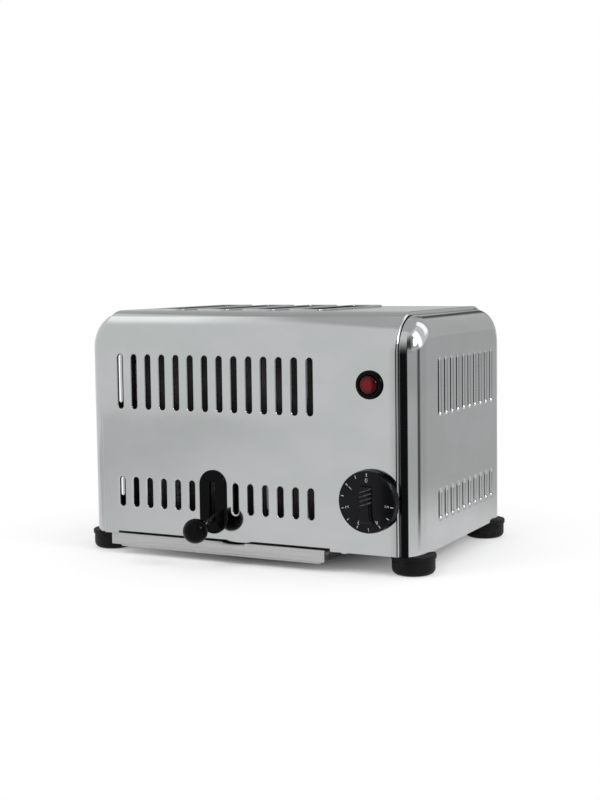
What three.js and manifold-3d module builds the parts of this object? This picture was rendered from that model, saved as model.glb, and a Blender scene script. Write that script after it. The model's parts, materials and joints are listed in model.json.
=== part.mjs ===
// Four-slot counter toaster: a folded steel casing with two pressed end caps,
// a lift lever that raises the bread carriage, a clockwork timer and a crumb tray.
// Millimetres. X runs to the right, Y to the back and Z up. The front panel faces -Y.
import * as THREE from 'three';
import { mergeVertices } from 'three/addons/utils/BufferGeometryUtils.js';
import Module from 'manifold-3d';

const wasm = await Module();
wasm.setup();

// Clearances shared by all pieces
const seatGap = 0.3;
const slideGap = 0.5;
const cutOverrun = 2;
const weldTolerance = 1e-4;

// Casing: one folded sheet for the front, the top and the back
const casingWidth = 298.5;
const casingDepth = 220;
const casingHeight = 205.5;
const casingCornerRadius = 35;
const sheetThickness = 1;
const hemWidth = 12;

// End caps
const capReach = 17.5;
const capRounding = 20;
const capInset = 3;
const capFlangeLength = 8;
const capStepDepth = 1.5;

// Base plate
const plateThickness = 1.2;
const crumbOpeningWidth = 190;
const crumbOpeningDepth = 154;
const weldNutRadius = 6;
const weldNutHeight = 4;

// Toasting chamber, placed by the middle of its four slots from the casing's left edge
const chamberInset = 118.8;
const breadSlotCount = 4;
const breadSlotPitch = 48;
const breadSlotWidth = 30;
const breadSlotLength = 136;
const breadSlotCorner = 5;
const collarWall = 1.4;
const collarHeight = 2;

// Vents
const ventPitch = 15;
const ventWidth = 5.5;
const ventColumns = 14;
const lowerVentGapStart = 6;
const lowerVentGapCount = 2;
const upperVentDrop = 39.3;
const upperVentHeight = 49.8;
const lowerVentBottom = 26;
const lowerVentHeight = 27.2;
const sideVentPitch = 14.5;
const sideVentColumns = 10;
const sideVentShift = 7.25;
const sideUpperVentDrop = 41;
const sideUpperVentHeight = 48.5;
const sideLowerVentBottom = 25.6;
const sideLowerVentHeight = 24.6;

// Inner walls of the chamber
const innerWallOffset = 28;
const chamberSideGap = 6;

// Heating elements: a mica board with flat ribbon wound round it
const boardThickness = 1.2;
const boardBottom = 78;
const boardTopDrop = 13.5;
const boardTongueHeight = 10;
const boardTongueLength = 3;
const boardTongueEdge = 10;
const ribbonWidth = 3;
const ribbonThickness = 0.5;
const ribbonTurns = 5;
const ribbonEdge = 12;
const ribbonEndMargin = 6;

// Bread cages: U-shaped wires joined by long wires
const cageWire = 1.6;
const cageHalfWidth = 13;
const cageBottom = 61;
const cageTopDrop = 11.5;
const cageLowerWireRise = 23;
const cageUpperWireDrop = 5;
const cageHoops = 5;
const cageHoopMargin = 18;
const cageWireTail = 4;

// Bread carriage
const railTop = 74;
const railHeight = 6;
const railWidth = 3;
const crossbarThickness = 3;
const crossbarDepth = 10;
const crossbarCentre = 16.5;
const crossbarEnd = 6;
const yokeWidth = 16;
const yokeThickness = 2;
const yokeBelowRod = 4;

// Lift lever, which turns on a pin behind the front wall
const leverPivotY = 66.5;
const leverPivotZ = 36.75;
const leverRestAngle = THREE.MathUtils.degToRad(12.6);
const leverRange = THREE.MathUtils.degToRad(24.5);
const leverRodRadius = 2.25;
const leverLength = 100;
const leverEyeRadius = 6;
const leverEyeWidth = 11;
const pinRadius = 2.5;
const pinHeadRadius = 4;
const pinHeadThickness = 1.6;
const pinTail = 1.5;
const ballRadius = 11;
const ballBoreDepth = 9;
const bracketSheet = 1.2;
const bracketHeight = 18;
const bracketTail = 8;
const bracketFootWidth = 36;
const bracketFootHeight = 52;
const leverWindowWidth = 9;
const leverWindowHeight = 32;

// Lever escutcheon
const escutcheonWidth = 27;
const escutcheonHeight = 57.4;
const escutcheonThickness = 2;
const escutcheonCentreZ = 35.9;
const leverSlotWidth = 5.4;
const leverSlotHeight = 36.6;
const escutcheonCollarWidth = 10;
const escutcheonCollarHeight = 42;

// Guide rods of the carriage
const guideRodRadius = 2.5;
const guideRodTop = 104;

// Timer and its knob
const controlsInset = 25.25;
const knobZ = 46.4;
const knobRadius = 27;
const knobFaceRadius = 26.2;
const knobBackGap = 1;
const knobFace = 8;
const knobHollowRadius = 23;
const knobHollowDepth = 3;
const knobBossRadius = 6.5;
const knobGripHeight = 8;
const knobGripWidth = 9;
const knobGripAbove = 14.5;
const knobGripBelow = 19;
const spindleRadius = 3;
const spindleReach = 12;
const spindleInside = 10;
const timerBodyWidth = 43;
const timerBodyHeight = 44;
const timerBodyDepth = 32;
const timerBushRadius = 7;
const timerPlateWidth = 33;
const timerPlateThickness = 2;
const timerScrewSpacing = 26;
const timerScrewRadius = 1.7;
const timerScrewHeadRadius = 3.2;
const timerScrewHeadThickness = 1.4;
const timerScrewLength = 6;

// Indicator lamp
const lampDrop = 60.7;
const lampBezelRadius = 12.3;
const lampBezelThickness = 3;
const lampBarrelRadius = 9.7;
const lampBarrelLength = 24;
const lampLensRadius = 8;
const lampLensDome = 3.6;
const lampRecessDepth = 5;
const lampNutRadius = 13.5;
const lampNutThickness = 3;

// Feet
const footOverhang = 4.25;
const footInsetY = 22.6;
const footRearInsetY = 20;
const footHeight = 17.2;
const footFlangeRadius = 19.7;
const footFlangeHeight = 4;
const footBodyRadius = 18.7;
const footStep = 1;
const footRounding = 5;
const footScrewRadius = 2.5;
const footScrewHeadRadius = 6;
const footScrewHeadThickness = 3;
const footRecessRadius = 8;
const footRecessDepth = 9;

// Screws that join the base plate to the casing's hems
const baseScrewRadius = 2;
const baseScrewHeadRadius = 3.6;
const baseScrewHeadThickness = 2.4;
const baseScrewTail = 2;
const baseScrewInsetY = 7.5;
const baseScrewFrontInset = 53.75;
const baseScrewRearPitch = 97;

// Crumb tray and its two runners, placed from the chamber's middle
const trayBodyShift = 5.45;
const trayBodyWidth = 206;
const trayBackInset = 32;
const trayFloorDrop = 10.8;
const traySheet = 0.8;
const trayRimDrop = 1.8;
const trayRimWidth = 4;
const trayLipShift = 3.45;
const trayLipWidth = 219;
const trayLipFront = 5.8;
const trayLipTop = 1.6;
const trayLipDrop = 9;
const trayLipPanelGap = 0.6;
const trayNotchShift = 22.95;
const trayNotchWidth = 24;
const trayNotchDepth = 3;
const runnerSheet = 1;
const runnerFlange = 5;
const runnerEndInset = 16;

// Cable gland and terminal block
const glandInset = 31.25;
const glandZ = 26;
const glandFlangeRadius = 11;
const glandFlangeThickness = 3;
const glandBarrelRadius = 8;
const glandBarrelLength = 12;
const glandNoseRadius = 7.5;
const glandNoseLength = 10;
const glandBoreRadius = 4.2;
const glandNutRadius = 11.5;
const glandNutThickness = 4;
const terminalInsetY = 44;
const terminalWidth = 46;
const terminalDepth = 18;
const terminalHeight = 11;
const terminalTowers = 3;
const terminalTowerWidth = 10;
const terminalTowerHeight = 7;

// Facet counts
const cornerFacets = 10;
const capFacets = 5;
const roundFacets = 18;
const smallFacets = 10;
const screwFacets = 8;
const slotEndFacets = 3;
const curveDivisions = 2;

// Places along a quarter turn where a rounded profile has its points
const footRoundingShares = [0, 1 / 2, 1];
const lensDomeShares = [0, 1 / 3, 2 / 3];

// Heights and places worked out from the values above
const chamberX = chamberInset - casingWidth / 2;
const controlsX = casingWidth / 2 - controlsInset;
const footX = casingWidth / 2 + footOverhang;
const baseScrewFrontX = casingWidth / 2 - baseScrewFrontInset;
const glandX = casingWidth / 2 - glandInset;
const terminalY = casingDepth - terminalInsetY;
const trayBodyX = chamberX + trayBodyShift;
const trayLipX = chamberX + trayLipShift;
const trayNotchX = chamberX + trayNotchShift;
const trayBodyBack = casingDepth - trayBackInset;
const upperVentBottom = casingHeight - upperVentDrop - upperVentHeight;
const sideUpperVentBottom = casingHeight - sideUpperVentDrop - sideUpperVentHeight;
const sideVentStartY = casingDepth / 2 + sideVentShift - (sideVentColumns - 1) / 2 * sideVentPitch;
const lampZ = casingHeight - lampDrop;
const boardHeight = casingHeight - boardTopDrop - boardBottom;
const cageTop = casingHeight - cageTopDrop;
const cageLowerWire = cageBottom + cageLowerWireRise;
const cageUpperWire = cageTop - cageUpperWireDrop;
const innerSideOffset = breadSlotCount * breadSlotPitch / 2 + chamberSideGap;
const plateTop = plateThickness;
const hemBottom = plateTop + seatGap;
const hemTop = hemBottom + sheetThickness;
const standTop = plateTop + seatGap;
const innerFrontY = innerWallOffset;
const innerRearY = casingDepth - innerWallOffset;
const cornerInner = casingCornerRadius - sheetThickness;
const cornerInset = Math.max(0, casingCornerRadius - innerWallOffset);
const cornerRise = Math.sqrt(cornerInner ** 2 - cornerInset ** 2);
const innerWallTop = casingHeight - casingCornerRadius + cornerRise - seatGap;
const rearCrossbarCentre = casingDepth - crossbarCentre;
const yokeArm = leverPivotY - crossbarCentre;
const leverTopAngle = leverRange - leverRestAngle;
const carriageLift = yokeArm * (Math.tan(leverRestAngle) + Math.tan(leverTopAngle));
const yokeRodZ = leverPivotZ - yokeArm * Math.tan(leverRestAngle);
const ballY = leverPivotY - leverLength * Math.cos(leverRestAngle);
const ballReach = ballRadius - ballY;
const glandReach = seatGap + glandFlangeThickness + glandNoseLength;
const groundDrop = seatGap + footHeight;
const originY = (casingDepth + glandReach - ballReach) / 2;
const slotCentres = Array.from(
  { length: breadSlotCount },
  (_, i) => chamberX + (i - (breadSlotCount - 1) / 2) * breadSlotPitch,
);
const guideRodPlaces = [
  [chamberX - breadSlotPitch, crossbarCentre],
  [chamberX + breadSlotPitch, crossbarCentre],
  [chamberX - breadSlotPitch, rearCrossbarCentre],
  [chamberX + breadSlotPitch, rearCrossbarCentre],
];
const footPlaces = [
  ['front_left', -footX, footInsetY],
  ['front_right', footX, footInsetY],
  ['rear_left', -footX, casingDepth - footRearInsetY],
  ['rear_right', footX, casingDepth - footRearInsetY],
];
const baseScrewPlaces = [
  ['front', baseScrewFrontX, baseScrewInsetY],
  ['rear_1', baseScrewFrontX, casingDepth - baseScrewInsetY],
  ['rear_2', baseScrewFrontX - baseScrewRearPitch, casingDepth - baseScrewInsetY],
  ['rear_3', baseScrewFrontX - baseScrewRearPitch * 2, casingDepth - baseScrewInsetY],
];

// Geometry helpers

// Welds a geometry's vertices, drops empty triangles and turns its faces outwards.
function weld(geometry) {
  const bare = geometry.clone();
  for (const name of ['normal', 'uv']) bare.deleteAttribute(name);
  const merged = mergeVertices(bare, weldTolerance);
  const index = [];
  const source = merged.index.array;
  for (let i = 0; i < source.length; i += 3) {
    const [a, b, c] = [source[i], source[i + 1], source[i + 2]];
    if (a !== b && b !== c && c !== a) index.push(a, b, c);
  }
  merged.setIndex(index);
  if (signedVolume(merged) < 0) {
    for (let i = 0; i < index.length; i += 3) [index[i], index[i + 1]] = [index[i + 1], index[i]];
    merged.setIndex(index);
  }
  return merged;
}

function signedVolume(geometry) {
  const position = geometry.getAttribute('position');
  const [a, b, c] = [new THREE.Vector3(), new THREE.Vector3(), new THREE.Vector3()];
  const index = geometry.index.array;
  let total = 0;
  for (let i = 0; i < index.length; i += 3) {
    a.fromBufferAttribute(position, index[i]);
    b.fromBufferAttribute(position, index[i + 1]);
    c.fromBufferAttribute(position, index[i + 2]);
    total += a.dot(b.cross(c));
  }
  return total;
}

function toSolid(geometry) {
  const welded = weld(geometry);
  return new wasm.Manifold(new wasm.Mesh({
    numProp: 3,
    vertProperties: Float32Array.from(welded.getAttribute('position').array),
    triVerts: Uint32Array.from(welded.index.array),
  }));
}

function toGeometry(solid) {
  const mesh = solid.getMesh();
  const geometry = new THREE.BufferGeometry();
  geometry.setAttribute('position', new THREE.BufferAttribute(Float32Array.from(mesh.vertProperties), 3));
  geometry.setIndex(Array.from(mesh.triVerts));
  return geometry;
}

function join(solids) {
  return solids.reduce((whole, next) => whole.add(next));
}

// A box between two opposite corners
function block([x0, y0, z0], [x1, y1, z1]) {
  const geometry = new THREE.BoxGeometry(x1 - x0, y1 - y0, z1 - z0);
  geometry.translate((x0 + x1) / 2, (y0 + y1) / 2, (z0 + z1) / 2);
  return toSolid(geometry);
}

function extrude(shape, depth, divisions) {
  return new THREE.ExtrudeGeometry(shape, { depth, bevelEnabled: false, curveSegments: divisions });
}

// A shape drawn in (Y, Z), extruded from x0 to x1
function alongX(shape, x0, x1, divisions = curveDivisions) {
  const geometry = extrude(shape, x1 - x0, divisions);
  const [x, y, z] = [new THREE.Vector3(1, 0, 0), new THREE.Vector3(0, 1, 0), new THREE.Vector3(0, 0, 1)];
  geometry.applyMatrix4(new THREE.Matrix4().makeBasis(y, z, x));
  return toSolid(geometry.translate(x0, 0, 0));
}

// A shape drawn in (X, Z), extruded from y0 to y1
function alongY(shape, y0, y1, divisions = curveDivisions) {
  const geometry = extrude(shape, y1 - y0, divisions).rotateX(Math.PI / 2);
  return toSolid(geometry.translate(0, y1, 0));
}

// A shape drawn in (X, Y), extruded from z0 to z1
function alongZ(shape, z0, z1, divisions = curveDivisions) {
  return toSolid(extrude(shape, z1 - z0, divisions).translate(0, 0, z0));
}

// A slot outline with round ends, standing upright on its lowest point
function uprightSlot(x, bottom, width, height, facets = slotEndFacets) {
  const r = width / 2;
  const points = [];
  for (const [start, centre] of [[Math.PI, bottom + r], [0, bottom + height - r]]) {
    for (let i = 0; i <= facets; i += 1) {
      const a = start + i / facets * Math.PI;
      points.push(new THREE.Vector2(x + r * Math.cos(a), centre + r * Math.sin(a)));
    }
  }
  return new THREE.Shape(points);
}

function roundedRectangle(x, y, width, height, r) {
  const [x0, x1, y0, y1] = [x - width / 2, x + width / 2, y - height / 2, y + height / 2];
  const shape = new THREE.Shape();
  shape.absarc(x1 - r, y0 + r, r, -Math.PI / 2, 0);
  shape.absarc(x1 - r, y1 - r, r, 0, Math.PI / 2);
  shape.absarc(x0 + r, y1 - r, r, Math.PI / 2, Math.PI);
  shape.absarc(x0 + r, y0 + r, r, Math.PI, Math.PI * 1.5);
  return shape;
}

// A turned solid; the profile holds [radius, height] pairs and closes on itself or on the axis
function turned(profile, facets, close = false) {
  const points = profile.map(([r, h]) => new THREE.Vector2(r, h));
  if (close) points.push(points[0].clone());
  return new THREE.LatheGeometry(points, facets);
}

function turnedUp(profile, facets, close) {
  return toSolid(turned(profile, facets, close).rotateX(Math.PI / 2));
}

// The same, with the profile's heights measured forwards, towards -Y
function turnedForward(profile, facets, close) {
  return toSolid(turned(profile, facets, close).rotateX(Math.PI));
}

function cylinderX(radius, x0, x1, y, z, facets = smallFacets) {
  const geometry = new THREE.CylinderGeometry(radius, radius, x1 - x0, facets).rotateZ(Math.PI / 2);
  return toSolid(geometry.translate((x0 + x1) / 2, y, z));
}

function cylinderY(radius, y0, y1, x, z, facets = smallFacets) {
  const geometry = new THREE.CylinderGeometry(radius, radius, y1 - y0, facets);
  return toSolid(geometry.translate(x, (y0 + y1) / 2, z));
}

function cylinderZ(radius, z0, z1, x, y, facets = smallFacets) {
  const geometry = new THREE.CylinderGeometry(radius, radius, z1 - z0, facets).rotateX(Math.PI / 2);
  return toSolid(geometry.translate(x, y, (z0 + z1) / 2));
}

// Materials
function finish(color, roughness, metalness) {
  return () => new THREE.MeshStandardMaterial({ color, roughness, metalness });
}

const polishedSteel = finish(0xb9babd, 0.22, 1);
const galvanisedSteel = finish(0x9a9c9c, 0.45, 1);
const brightSteel = finish(0xc4c5c6, 0.25, 1);
const blackPlastic = finish(0x151518, 0.35, 0);
const blackRubber = finish(0x1b1c1e, 0.7, 0);
const redLens = finish(0xa3121c, 0.15, 0);
const mica = finish(0xb9a988, 0.6, 0);
const paleNylon = finish(0xd8d4c6, 0.5, 0);

const toaster = new THREE.Group();
toaster.name = 'toaster';
toaster.position.set(0, -originY, groundDrop);

function place(name, solid, material, parent = toaster) {
  const geometry = solid.isBufferGeometry ? weld(solid) : toGeometry(solid);
  const mesh = new THREE.Mesh(geometry, material());
  mesh.name = name;
  parent.add(mesh);
  return mesh;
}

// Casing

// The folded sheet's section, with a hem turned in at the foot of each long side
function casingSection() {
  const [t, r, d, h] = [sheetThickness, casingCornerRadius, casingDepth, casingHeight];
  const shape = new THREE.Shape();
  shape.moveTo(0, 0);
  shape.lineTo(t, 0);
  shape.lineTo(t, hemBottom);
  shape.lineTo(hemWidth, hemBottom);
  shape.lineTo(hemWidth, hemTop);
  shape.lineTo(t, hemTop);
  shape.lineTo(t, h - r);
  shape.absarc(r, h - r, r - t, Math.PI, Math.PI / 2, true);
  shape.absarc(d - r, h - r, r - t, Math.PI / 2, 0, true);
  shape.lineTo(d - t, hemTop);
  shape.lineTo(d - hemWidth, hemTop);
  shape.lineTo(d - hemWidth, hemBottom);
  shape.lineTo(d - t, hemBottom);
  shape.lineTo(d - t, 0);
  shape.lineTo(d, 0);
  shape.lineTo(d, h - r);
  shape.absarc(d - r, h - r, r, 0, Math.PI / 2);
  shape.absarc(r, h - r, r, Math.PI / 2, Math.PI);
  return shape;
}

function ventRow(bottom, height, y0, y1, isOpen) {
  const first = chamberX - (ventColumns - 1) / 2 * ventPitch;
  const cutters = [];
  for (let i = 0; i < ventColumns; i += 1) {
    const slot = uprightSlot(first + i * ventPitch, bottom, ventWidth, height);
    if (isOpen(i)) cutters.push(alongY(slot, y0, y1));
  }
  return cutters;
}

function casingWrapper() {
  const half = casingWidth / 2;
  let body = alongX(casingSection(), -half, half, cornerFacets / 2);
  const slotOutline = (x, grow) => roundedRectangle(
    x, casingDepth / 2, breadSlotWidth + grow * 2, breadSlotLength + grow * 2, breadSlotCorner + grow,
  );
  const [top, under] = [casingHeight + collarHeight, casingHeight - sheetThickness];
  body = join([body, ...slotCentres.map((x) => alongZ(slotOutline(x, collarWall), under, top))]);
  const everywhere = () => true;
  const leverGap = (i) => i < lowerVentGapStart || i >= lowerVentGapStart + lowerVentGapCount;
  const front = [-cutOverrun, sheetThickness + cutOverrun];
  const back = [casingDepth - sheetThickness - cutOverrun, casingDepth + cutOverrun];
  const cutters = [
    ...slotCentres.map((x) => alongZ(slotOutline(x, 0), under - cutOverrun, top + cutOverrun)),
    ...ventRow(upperVentBottom, upperVentHeight, ...front, everywhere),
    ...ventRow(lowerVentBottom, lowerVentHeight, ...front, leverGap),
    ...ventRow(upperVentBottom, upperVentHeight, ...back, everywhere),
    alongY(uprightSlot(
      chamberX, escutcheonCentreZ - escutcheonCollarHeight / 2 - seatGap,
      escutcheonCollarWidth + seatGap * 2, escutcheonCollarHeight + seatGap * 2,
    ), ...front),
    cylinderY(lampBarrelRadius + seatGap, ...front, controlsX, lampZ, roundFacets),
    cylinderY(timerBushRadius + seatGap, ...front, controlsX, knobZ, roundFacets),
    cylinderY(glandBarrelRadius + seatGap, ...back, glandX, glandZ, roundFacets),
    ...[-1, 1].map((side) => cylinderY(
      timerScrewRadius + seatGap, ...front, controlsX + side * timerScrewSpacing / 2, knobZ,
    )),
    ...baseScrewPlaces.map(([, x, y]) => cylinderZ(
      baseScrewRadius + seatGap, hemBottom - seatGap, hemTop + seatGap, x, y,
    )),
    ...hemEnds(half),
  ];
  return body.subtract(join(cutters));
}

// The hems stop short of the end caps' flanges
function hemEnds(half) {
  const start = half - capFlangeLength - seatGap;
  const inner = casingDepth - sheetThickness;
  const reach = hemWidth + cutOverrun;
  const ends = [];
  for (const [x0, x1] of [[start, half + cutOverrun], [-half - cutOverrun, -start]]) {
    for (const [y0, y1] of [[sheetThickness, reach], [casingDepth - reach, inner]]) {
      ends.push(block([x0, y0, hemBottom - seatGap], [x1, y1, hemTop + seatGap]));
    }
  }
  return ends;
}

// End caps

// Points of the cap's outline at a given inset, from the front foot over the top to the rear foot
function capOutline(inset, bottom) {
  const r = casingCornerRadius - inset;
  const [low, high] = [casingCornerRadius, casingDepth - casingCornerRadius];
  const centreZ = casingHeight - casingCornerRadius;
  const points = [[inset, bottom]];
  for (let i = 0; i <= cornerFacets; i += 1) {
    const a = Math.PI - i / cornerFacets * Math.PI / 2;
    points.push([low + r * Math.cos(a), centreZ + r * Math.sin(a)]);
  }
  for (let i = 0; i <= cornerFacets; i += 1) {
    const a = Math.PI / 2 - i / cornerFacets * Math.PI / 2;
    points.push([high + r * Math.cos(a), centreZ + r * Math.sin(a)]);
  }
  points.push([casingDepth - inset, bottom]);
  return points;
}

// A closed solid through outlines at given places along X
function loft(rings) {
  const count = rings[0].points.length;
  const positions = rings.flatMap(({ x, points }) => points.flatMap(([y, z]) => [x, y, z]));
  const index = [];
  for (let k = 0; k + 1 < rings.length; k += 1) {
    for (let i = 0; i < count; i += 1) {
      const [a, b] = [k * count + i, k * count + (i + 1) % count];
      index.push(a, b, b + count, a, b + count, a + count);
    }
  }
  const last = (rings.length - 1) * count;
  for (let i = 1; i + 1 < count; i += 1) {
    index.push(0, i + 1, i);
    index.push(last, last + i, last + i + 1);
  }
  const geometry = new THREE.BufferGeometry();
  geometry.setAttribute('position', new THREE.Float32BufferAttribute(positions, 3));
  geometry.setIndex(index);
  return toSolid(geometry);
}

function endCap(side) {
  const root = casingWidth / 2;
  const [t, flangeInset] = [sheetThickness, sheetThickness + seatGap];
  const ring = (x, inset, bottom) => ({ x: side * (root + x), points: capOutline(inset, bottom) });
  const outer = [
    ring(-capFlangeLength, flangeInset, 0),
    ring(-capStepDepth, flangeInset, 0),
    ring(-capStepDepth, capInset, 0),
  ];
  const inner = [
    ring(-capFlangeLength - cutOverrun, flangeInset + t, -cutOverrun),
    ring(-capStepDepth - t, flangeInset + t, -cutOverrun),
    ring(-capStepDepth - t, capInset + t, -cutOverrun),
  ];
  for (let i = 0; i <= capFacets; i += 1) {
    const a = i / capFacets * Math.PI / 2;
    const centre = capInset + capRounding;
    outer.push(ring(capReach * Math.sin(a), centre - capRounding * Math.cos(a), 0));
    const [reach, rounding] = [capReach - t, capRounding - t];
    inner.push(ring(reach * Math.sin(a), centre - rounding * Math.cos(a), -cutOverrun));
  }
  const [x0, x1] = [root + capReach - t - cutOverrun, root + capReach + cutOverrun];
  const cutters = [];
  for (let i = 0; i < sideVentColumns; i += 1) {
    const y = sideVentStartY + i * sideVentPitch;
    for (const [bottom, height] of [
      [sideUpperVentBottom, sideUpperVentHeight],
      [sideLowerVentBottom, sideLowerVentHeight],
    ]) {
      const slot = uprightSlot(y, bottom, ventWidth, height);
      cutters.push(side > 0 ? alongX(slot, x0, x1) : alongX(slot, -x1, -x0));
    }
  }
  return loft(outer).subtract(loft(inner)).subtract(join(cutters));
}

// Base plate, which fits inside the casing and the caps

function basePlate() {
  const rounding = capRounding - sheetThickness - seatGap;
  const reach = capReach - sheetThickness - seatGap;
  const [root, front] = [casingWidth / 2, capInset + capRounding];
  const back = casingDepth - front;
  const outline = new THREE.Shape();
  outline.absellipse(root, front, reach, rounding, -Math.PI / 2, 0);
  outline.absellipse(root, back, reach, rounding, 0, Math.PI / 2);
  outline.absellipse(-root, back, reach, rounding, Math.PI / 2, Math.PI);
  outline.absellipse(-root, front, reach, rounding, Math.PI, Math.PI * 1.5);
  const innerHalf = root - capFlangeLength - seatGap;
  const edge = sheetThickness + seatGap;
  const middle = block([-innerHalf, edge, 0], [innerHalf, casingDepth - edge, plateTop]);
  const nuts = footPlaces.map(([, x, y]) => cylinderZ(weldNutRadius, 0, plateTop + weldNutHeight, x, y));
  const body = join([alongZ(outline, 0, plateTop, capFacets), middle, ...nuts]);
  const [halfWidth, halfDepth] = [crumbOpeningWidth / 2, crumbOpeningDepth / 2];
  const nutTop = plateTop + weldNutHeight + cutOverrun;
  const cutters = [
    block(
      [chamberX - halfWidth, casingDepth / 2 - halfDepth, -cutOverrun],
      [chamberX + halfWidth, casingDepth / 2 + halfDepth, plateTop + cutOverrun],
    ),
    ...footPlaces.map(([, x, y]) => cylinderZ(footScrewRadius + seatGap, -cutOverrun, nutTop, x, y)),
    ...baseScrewPlaces.map(([, x, y]) => cylinderZ(
      baseScrewRadius + seatGap, -cutOverrun, plateTop + cutOverrun, x, y,
    )),
  ];
  return body.subtract(join(cutters));
}

// Feet and screws

function foot() {
  const [top, bottom] = [0, -footHeight];
  const shoulder = top - footFlangeHeight;
  const bore = footScrewRadius + seatGap;
  const profile = [[bore, top], [footFlangeRadius, top], [footFlangeRadius, shoulder]];
  profile.push([footBodyRadius, shoulder - footStep]);
  for (const share of footRoundingShares) {
    const a = share * Math.PI / 2;
    profile.push([
      footBodyRadius - footRounding + footRounding * Math.cos(a),
      bottom + footRounding - footRounding * Math.sin(a),
    ]);
  }
  profile.push([footRecessRadius, bottom], [footRecessRadius, bottom + footRecessDepth]);
  profile.push([bore, bottom + footRecessDepth]);
  return turnedUp(profile, roundFacets, true);
}

// A pan-head screw pointing up, with the underside of its head at height zero
function panScrew(radius, length, headRadius, headThickness) {
  const face = headRadius - headThickness / 3;
  return [
    [0, -headThickness], [face, -headThickness], [headRadius, 0],
    [radius, 0], [radius, length], [0, length],
  ];
}

function addFeet() {
  const screwLength = footHeight - footRecessDepth + plateTop + weldNutHeight;
  const screwProfile = panScrew(footScrewRadius, screwLength, footScrewHeadRadius, footScrewHeadThickness);
  for (const [corner, x, y] of footPlaces) {
    place(`foot_${corner}`, foot(), blackRubber).position.set(x, y, -seatGap);
    const screw = place(`foot_screw_${corner}`, turnedUp(screwProfile, screwFacets), brightSteel);
    screw.position.set(x, y, -footHeight + footRecessDepth - seatGap * 2);
  }
  const tail = seatGap + hemTop + baseScrewTail;
  const profile = panScrew(baseScrewRadius, tail, baseScrewHeadRadius, baseScrewHeadThickness);
  for (const [edge, x, y] of baseScrewPlaces) {
    const screw = place(`base_screw_${edge}`, turnedUp(profile, screwFacets), brightSteel);
    screw.position.set(x, y, -seatGap);
  }
}

// Chamber walls

function wireHoles(y0, y1) {
  const half = cageWire / 2 + seatGap;
  return slotCentres.flatMap((x) => [-cageHalfWidth, cageHalfWidth].flatMap((dx) => (
    [cageLowerWire, cageUpperWire].map((z) => block(
      [x + dx - half, y0, z - half], [x + dx + half, y1, z + half],
    ))
  )));
}

const elementCentres = Array.from(
  { length: breadSlotCount + 1 },
  (_, i) => chamberX + (i - breadSlotCount / 2) * breadSlotPitch,
);

const upperTongueBottom = boardBottom + boardHeight - boardTongueEdge - boardTongueHeight;
const tongueBottoms = [boardBottom + boardTongueEdge, upperTongueBottom];

function tongueHoles(y0, y1) {
  const half = boardThickness / 2 + seatGap;
  return elementCentres.flatMap((x) => tongueBottoms.map((z) => block(
    [x - half, y0, z - seatGap], [x + half, y1, z + boardTongueHeight + seatGap],
  )));
}

function chamberWall(y, withLever) {
  const half = innerSideOffset;
  const body = block(
    [chamberX - half, y, standTop], [chamberX + half, y + sheetThickness, innerWallTop],
  );
  const [y0, y1] = [y - cutOverrun, y + sheetThickness + cutOverrun];
  const railHalf = railWidth / 2 + slideGap;
  const cutters = [
    ...slotCentres.map((x) => block(
      [x - railHalf, y0, railTop - railHeight - slideGap],
      [x + railHalf, y1, railTop + carriageLift + slideGap],
    )),
    ...wireHoles(y0, y1),
    ...tongueHoles(y0, y1),
  ];
  if (withLever) {
    const [w, h] = [leverWindowWidth / 2, leverWindowHeight / 2];
    cutters.push(block([chamberX - w, y0, leverPivotZ - h], [chamberX + w, y1, leverPivotZ + h]));
  }
  return body.subtract(join(cutters));
}

function addChamberWalls() {
  place('inner_front_wall', chamberWall(innerFrontY, true), galvanisedSteel);
  place('inner_rear_wall', chamberWall(innerRearY - sheetThickness, false), galvanisedSteel);
  const [y0, y1] = [innerFrontY + sheetThickness + seatGap, innerRearY - sheetThickness - seatGap];
  for (const [name, side] of [['inner_left_wall', -1], ['inner_right_wall', 1]]) {
    const x = chamberX + side * (innerSideOffset - sheetThickness / 2);
    const half = sheetThickness / 2;
    place(name, block([x - half, y0, standTop], [x + half, y1, innerWallTop]), galvanisedSteel);
  }
}

// Heating elements: the ribbon's turns lie as ridges on both faces of the board
function heatingElement(x) {
  const [y0, y1] = [innerFrontY + sheetThickness + seatGap, innerRearY - sheetThickness - seatGap];
  const half = boardThickness / 2;
  const solids = [block([x - half, y0, boardBottom], [x + half, y1, boardBottom + boardHeight])];
  const reach = sheetThickness + seatGap + boardTongueLength;
  for (const z of tongueBottoms) {
    solids.push(block([x - half, y0 - reach, z], [x + half, y1 + reach, z + boardTongueHeight]));
  }
  const pitch = (boardHeight - ribbonEdge * 2) / (ribbonTurns - 1);
  const ribbonHalf = half + ribbonThickness;
  for (let i = 0; i < ribbonTurns; i += 1) {
    const z = boardBottom + ribbonEdge + i * pitch;
    solids.push(block(
      [x - ribbonHalf, y0 + ribbonEndMargin, z - ribbonWidth / 2],
      [x + ribbonHalf, y1 - ribbonEndMargin, z + ribbonWidth / 2],
    ));
  }
  return join(solids);
}

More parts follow.
